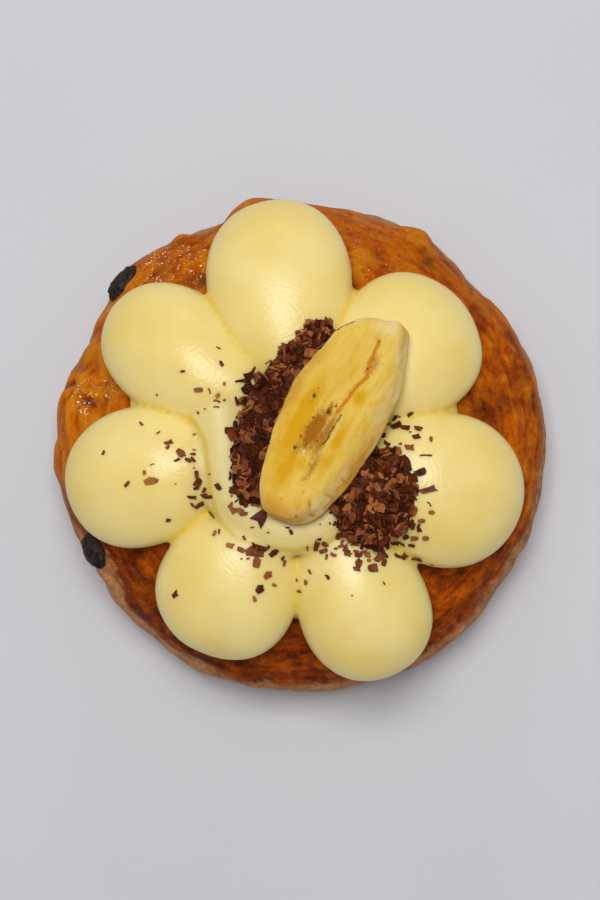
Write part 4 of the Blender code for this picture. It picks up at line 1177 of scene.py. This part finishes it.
# Flakes: x, y, length and width in millimetres, turn in degrees, and tone from black to thin and lit.
STREWN = (
    (-12.4, -9.5, 1.6, 1.2, 0, 0.8), (-13.1, -11.9, 1.8, 1.0, 0, 0.5), (-11.7, -12.5, 1.8, 1.4, 30, 0.6),
    (-10.8, -10.8, 1.8, 1.2, -30, 0.4), (-14.4, -11.9, 1.0, 0.8, 0, 0.6), (-10.0, -14.2, 1.8, 1.4, 0, 0.8),
    (-9.3, -15.4, 1.4, 1.0, 0, 0.6), (-17.5, 20.5, 1.3, 0.5, -20, 0.5), (-16.6, 16.8, 1.5, 1.0, -60, 0.4),
    (-25.5, 15.1, 1.3, 0.7, 0, 0.4), (-21.8, 10.8, 2.1, 1.3, 0, 0.7), (-31.8, 10.0, 0.6, 0.6, 0, 0.4),
    (-15.9, 12.2, 1.0, 0.8, 90, 0.8), (-17.4, 9.6, 1.3, 1.2, 45, 0.9), (-17.7, 8.2, 1.9, 0.7, -15, 0.7),
    (-17.8, 6.8, 1.6, 0.6, -5, 0.6), (-15.9, 8.5, 0.8, 0.7, 0, 0.8), (-22.0, 5.6, 0.9, 0.6, -45, 0.5),
    (-20.5, 6.5, 0.5, 0.5, 0, 0.6), (-19.4, 10.6, 1.7, 0.5, -75, 0.6), (-35.4, 3.1, 1.4, 0.8, -60, 0.5),
    (-31.3, 1.0, 1.2, 0.5, 40, 0.6), (-28.8, -1.4, 2.3, 1.3, 20, 0.45), (-29.0, -2.4, 1.2, 0.9, 45, 0.5),
    (-23.0, 0.6, 0.9, 0.4, 10, 0.6), (-44.2, -3.5, 1.3, 0.8, 70, 0.4), (-26.0, -3.8, 2.4, 2.0, -60, 0.55),
    (-26.8, -5.4, 1.8, 0.9, 30, 0.2), (-24.3, -5.4, 1.8, 1.1, -30, 0.4), (-23.2, -5.3, 1.6, 0.8, -50, 0.3),
    (-23.2, -4.0, 1.4, 0.7, 0, 0.4), (-23.0, -3.0, 0.9, 0.5, 0, 0.6), (-32.6, -6.5, 1.3, 0.4, 20, 0.6),
    (-34.3, -8.3, 1.1, 1.0, 80, 0.9), (-33.0, -10.2, 2.9, 2.0, 0, 0.85), (-31.6, -10.2, 1.5, 0.9, 30, 0.7),
    (-38.4, -10.8, 1.8, 0.9, 50, 0.4), (-22.4, -8.6, 1.8, 1.2, 90, 0.4), (-22.2, -10.4, 2.4, 2.1, 60, 0.35),
    (-22.6, -11.9, 1.4, 0.8, 0, 0.3), (-20.6, -12.2, 1.4, 1.0, 60, 0.4), (-20.4, -13.6, 2.2, 1.9, 20, 0.4),
    (-19.2, -13.8, 1.2, 0.9, 0, 0.3), (-23.6, -13.9, 2.5, 1.1, -8, 0.25), (-22.0, -15.6, 2.5, 1.4, 20, 0.4),
    (-23.6, -15.6, 1.7, 0.7, -50, 0.5), (-17.2, -11.6, 2.0, 1.4, -50, 0.25),
    (-19.4, -8.6, 0.6, 0.5, 0, 0.5), (-23.0, -7.2, 0.6, 0.4, 0, 0.5), (-29.1, -19.1, 1.3, 1.1, 0, 0.4),
    (-18.9, -17.9, 2.3, 1.1, -20, 0.25), (-27.2, -10.9, 0.6, 0.4, 0, 0.6),
    (-14.4, -15.7, 1.7, 0.9, 50, 0.6), (-14.0, -16.9, 2.1, 1.3, -60, 0.7),
    (-12.4, -17.0, 2.3, 1.4, -20, 0.65), (-11.4, -17.8, 2.1, 1.1, 0, 0.5), (-9.4, -20.9, 1.0, 0.4, 10, 0.3),
    (-1.3, -21.0, 1.2, 0.5, -10, 0.3), (-0.5, -22.0, 1.4, 0.9, -60, 0.2), (9.6, -20.0, 1.4, 1.1, 60, 0.2),
    (8.4, -20.0, 0.8, 0.4, 90, 0.2), (9.0, -17.4, 1.5, 1.0, 10, 0.2), (6.2, -20.2, 0.6, 0.4, 0, 0.3),
    (-5.8, -22.1, 0.7, 0.4, 0, 0.4), (-14.2, -13.7, 0.6, 0.5, 0, 0.5), (-11.0, -16.2, 0.9, 0.6, 0, 0.5),
    (-18.2, -22.3, 1.5, 0.9, 75, 0.8), (-17.2, -21.9, 1.3, 0.6, 90, 0.5),
    (-11.3, -23.4, 1.3, 0.8, -60, 0.6), (-14.5, -25.1, 2.1, 1.6, -20, 0.85),
    (-12.0, -26.2, 1.9, 1.4, -30, 0.7), (-11.9, -28.2, 0.6, 0.5, 0, 0.7), (-9.6, -26.4, 3.0, 2.6, 0, 0.5),
    (-7.8, -25.8, 3.6, 1.5, -12, 0.15), (-8.2, -26.9, 3.2, 2.0, 0, 0.45), (-8.4, -29.0, 2.3, 2.1, 70, 0.6),
    (-10.4, -28.1, 0.9, 0.6, 0, 0.4), (-5.8, -25.4, 1.1, 1.0, 45, 0.3), (-4.6, -26.8, 2.1, 1.6, 30, 0.15),
    (-4.2, -26.3, 1.9, 0.9, 10, 0.2), (-2.6, -27.9, 1.2, 0.9, 30, 0.2), (-2.3, -29.1, 1.6, 0.9, 75, 0.6),
    (-9.3, -24.6, 0.8, 0.6, 0, 0.6), (-6.0, -31.9, 2.2, 1.9, 10, 0.7), (-7.8, -35.1, 2.2, 2.1, 20, 0.15),
    (-4.5, -34.2, 1.3, 0.9, -30, 0.8), (-9.0, -37.4, 1.5, 1.0, -70, 0.8),
    (-27.5, -36.3, 1.9, 1.7, 20, 0.35), (0.4, -33.1, 1.1, 0.6, -40, 0.5), (2.8, -33.6, 1.3, 1.2, 60, 0.7),
    (1.3, -35.7, 1.7, 0.8, 5, 0.6), (3.8, -31.2, 1.4, 0.9, -60, 0.6), (8.0, -32.5, 1.1, 0.9, -60, 0.3),
    (7.5, -32.0, 0.7, 0.5, 0, 0.3), (13.5, -36.6, 0.6, 0.5, 0, 0.5), (20.8, -33.8, 1.0, 0.4, -60, 0.4),
    (3.1, -25.6, 1.7, 0.5, -80, 0.4), (5.2, -25.0, 2.7, 1.6, 75, 0.35), (6.0, -23.6, 1.2, 0.9, 0, 0.3),
    (7.2, -24.8, 1.8, 1.3, -45, 0.4), (7.0, -26.4, 2.0, 1.2, 10, 0.5), (7.7, -27.7, 1.3, 0.7, 80, 0.5),
    (9.3, -27.3, 1.7, 1.0, -25, 0.7), (10.4, -22.8, 2.0, 1.7, 45, 0.4), (9.8, -25.8, 1.0, 0.7, 0, 0.5),
    (11.0, -25.3, 1.4, 0.9, 15, 0.6), (12.6, -27.1, 2.0, 1.2, -15, 0.5), (12.0, -26.0, 1.4, 0.9, 20, 0.4),
    (15.0, -27.4, 1.8, 1.3, 0, 0.4), (15.0, -29.2, 2.3, 1.9, 60, 0.45), (14.6, -30.5, 1.9, 1.6, 0, 0.45),
    (17.0, -27.0, 1.7, 1.0, 0, 0.7), (17.4, -28.6, 1.1, 0.9, 0, 0.8), (18.3, -30.3, 2.5, 2.3, 15, 0.5),
    (19.6, -28.0, 2.7, 2.3, 45, 0.5), (20.8, -29.0, 1.8, 1.5, 60, 0.45), (21.2, -27.6, 1.4, 1.0, 0, 0.4),
    (23.9, -27.6, 2.1, 1.0, -15, 0.3), (25.4, -27.8, 2.1, 1.9, 45, 0.35), (28.6, -28.0, 2.5, 1.9, -60, 0.4),
    (27.3, -25.0, 1.7, 1.0, -15, 0.35), (28.0, -23.3, 2.0, 1.4, 10, 0.6), (32.0, -29.4, 1.0, 0.4, 0, 0.6),
    (27.0, 5.6, 1.7, 1.1, 30, 0.3), (24.5, 4.8, 0.6, 0.5, 0, 0.3), (23.4, 4.6, 1.9, 1.2, 70, 0.1),
    (22.2, 3.0, 1.2, 0.9, 40, 0.15), (23.9, 2.4, 2.5, 2.1, 30, 0.15), (25.9, 2.0, 2.3, 1.4, -15, 0.3),
    (28.8, 1.8, 2.1, 1.4, -30, 0.45), (28.4, -0.2, 2.0, 1.7, 20, 0.35), (27.0, 1.0, 0.6, 0.5, 0, 0.6),
    (31.7, -0.7, 1.4, 0.9, 75, 0.6), (20.8, 0.2, 1.5, 1.3, 0, 0.1), (21.6, -1.8, 2.3, 1.3, -45, 0.3),
    (21.8, -4.2, 2.1, 1.3, 80, 0.3), (19.0, -4.8, 1.8, 1.4, 0, 0.15), (24.7, -1.8, 0.8, 0.7, 0, 0.5),
    (26.8, -2.7, 2.5, 1.8, -5, 0.6), (30.4, -4.6, 3.3, 0.5, 0, 0.3), (25.2, -5.2, 0.6, 0.6, 0, 0.4),
    (29.5, -8.4, 2.3, 2.0, 20, 0.1), (28.0, -8.2, 0.7, 0.4, 0, 0.5), (31.0, -12.4, 4.5, 1.9, 15, 0.5),
    (31.2, -15.6, 1.6, 0.5, -50, 0.5), (31.8, -17.5, 1.5, 1.2, -30, 0.8),
    (29.5, -19.4, 1.8, 1.2, -10, 0.75), (30.5, -23.4, 1.5, 1.4, 0, 0.75), (27.4, -20.5, 2.0, 1.6, 80, 0.45),
    (28.0, -16.7, 0.9, 0.4, -30, 0.6), (12.0, -25.2, 1.3, 0.9, 30, 0.5), (12.4, -26.4, 1.8, 1.1, -20, 0.4),
    (14.5, -25.0, 1.5, 1.1, 0, 0.6), (15.7, -25.3, 1.8, 1.2, 60, 0.3), (14.4, -26.5, 1.4, 0.8, -15, 0.6),
    (16.2, -26.6, 2.0, 1.0, 10, 0.5), (17.0, -27.6, 1.6, 0.9, -25, 0.7), (18.1, -25.3, 2.2, 1.5, 10, 0.2),
    (19.4, -26.2, 1.7, 1.1, 45, 0.6), (20.4, -26.6, 2.1, 1.3, -70, 0.4), (21.5, -25.2, 2.3, 1.5, 80, 0.3),
    (19.0, -24.2, 1.6, 1.2, 20, 0.15), (23.4, -24.4, 2.4, 1.2, 5, 0.25), (25.0, -24.6, 1.9, 1.0, -10, 0.35),
    (26.0, -23.0, 1.8, 1.4, 30, 0.3), (10.6, -23.0, 1.5, 1.0, 0, 0.4), (11.2, -24.2, 1.2, 0.9, 50, 0.6),
    (16.8, -24.0, 1.7, 1.2, -40, 0.35),
)
CHUNK = (-7.4, -18.6, 4.6, 4.6, -38, 0.15)  # the largest, three-cornered
SLIVER_SHARE = 0.4  # a flake narrower than this share of its length is a bent sliver
STREWN_TILT = 0.10
STREWN_LIFT = 0.10  # in millimetres, off the cream
STREWN_LIFT_SHARE = 0.06  # more of it for a longer flake
CLEARANCE = 0.5 * MM  # a flake nearer to the banana slice than this would lie under it


def strew_flakes():
    surface = surface_of(flower)
    cover = surface_of(banana)
    placings = []
    for row in STREWN + (CHUNK,):
        x, y, length, width, turn, tone = row
        kind = SLIVER if width < length * SLIVER_SHARE else rng.randrange(FLAKE_KINDS)
        if row is CHUNK:
            kind = TRIANGLE
        place, normal, _, _ = surface.ray_cast(Vector((x * MM, y * MM, ABOVE_ALL)), DOWN)
        if place is None or cover.find_nearest(place, CLEARANCE)[0] is not None:
            continue
        place = place + normal * (STREWN_LIFT + STREWN_LIFT_SHARE * length) * MM
        lie = lying(place, normal, STREWN_TILT, length * MM, width * MM, math.radians(turn))
        placings.append((kind, lie, tone))
    flakes = joined_flakes("strewn_flakes", placings)
    flakes.data.materials.append(chocolate)
    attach(flakes, "root")


strew_flakes()

# ================================================================ the table, the light and the camera
# A plain pale table top, a large soft lamp overhead, a weak window beyond the back of the table, and the
# camera nearly straight above.

FLOOR_GREY = (0.640, 0.640, 0.668)
FLOOR_SHADE = 1.02  # how much lighter its lightest places are
TABLE_SIZE = 4.0


def floor_look():
    look = new_look("pale_table", Roughness=0.75, Specular_IOR_Level=0.3)
    cloud = cloudy(look, place_on(look), 60.0 * MM, 3.0, 0.5)
    paler = tuple(FLOOR_SHADE * part for part in FLOOR_GREY)
    dress(look, Base_Color=shades(look, cloud, ((0.3, FLOOR_GREY), (0.7, paler))))
    return look


bpy.ops.object.select_all(action="DESELECT")
bpy.ops.mesh.primitive_plane_add(size=TABLE_SIZE)
table = bpy.context.object
table.name = "table_top"
table.data.materials.append(floor_look())

# Lamps: name, place, width, power in watts.
LAMPS = (
    ("overhead_softbox", Vector((0.0, 0.16, 1.0)), 0.40, 6.9),
    ("window", Vector((0.0, 1.2, 0.55)), 0.25, 0.8),
)
SKY_COLOUR = (0.97, 0.98, 1.0, 1.0)
SKY_STRENGTH = 0.27

for name, place, width, power in LAMPS:
    lamp_data = bpy.data.lights.new(name, "AREA")
    lamp_data.shape = "SQUARE"
    lamp_data.size = width
    lamp_data.energy = power
    lamp = bpy.data.objects.new(name, lamp_data)
    bpy.context.scene.collection.objects.link(lamp)
    lamp.location = place
    lamp.rotation_euler = place.to_track_quat("Z", "Y").to_euler()

sky = bpy.data.worlds.new("studio")
bpy.context.scene.world = sky
sky.use_nodes = True
for socket, value in (("Color", SKY_COLOUR), ("Strength", SKY_STRENGTH)):
    sky.node_tree.nodes["Background"].inputs[socket].default_value = value

# Angles in degrees, lens and sensor in millimetres.
CAMERA_TARGET = Vector((0.0002, -0.0015, 0.022))
CAMERA_AZIMUTH = 40.0
CAMERA_ELEVATION = 86.0
CAMERA_DISTANCE = 0.520
LENS = 85.0
SENSOR = 36.0

azimuth, elevation = math.radians(CAMERA_AZIMUTH), math.radians(CAMERA_ELEVATION)
back = Vector((
    math.sin(azimuth) * math.cos(elevation),
    -math.cos(azimuth) * math.cos(elevation),
    math.sin(elevation),
))
right = Vector((0.0, 1.0, 0.0)).cross(back).normalized()
stand = Matrix((right, back.cross(right), back)).transposed().to_4x4()
stand.translation = CAMERA_TARGET + back * CAMERA_DISTANCE
camera_data = bpy.data.cameras.new("camera")
camera_data.lens = LENS
camera_data.sensor_width = SENSOR
camera_data.clip_start = 0.01
camera = bpy.data.objects.new("camera", camera_data)
bpy.context.scene.collection.objects.link(camera)
camera.matrix_world = stand
bpy.context.scene.camera = camera
bpy.context.scene.view_settings.view_transform = "Standard"
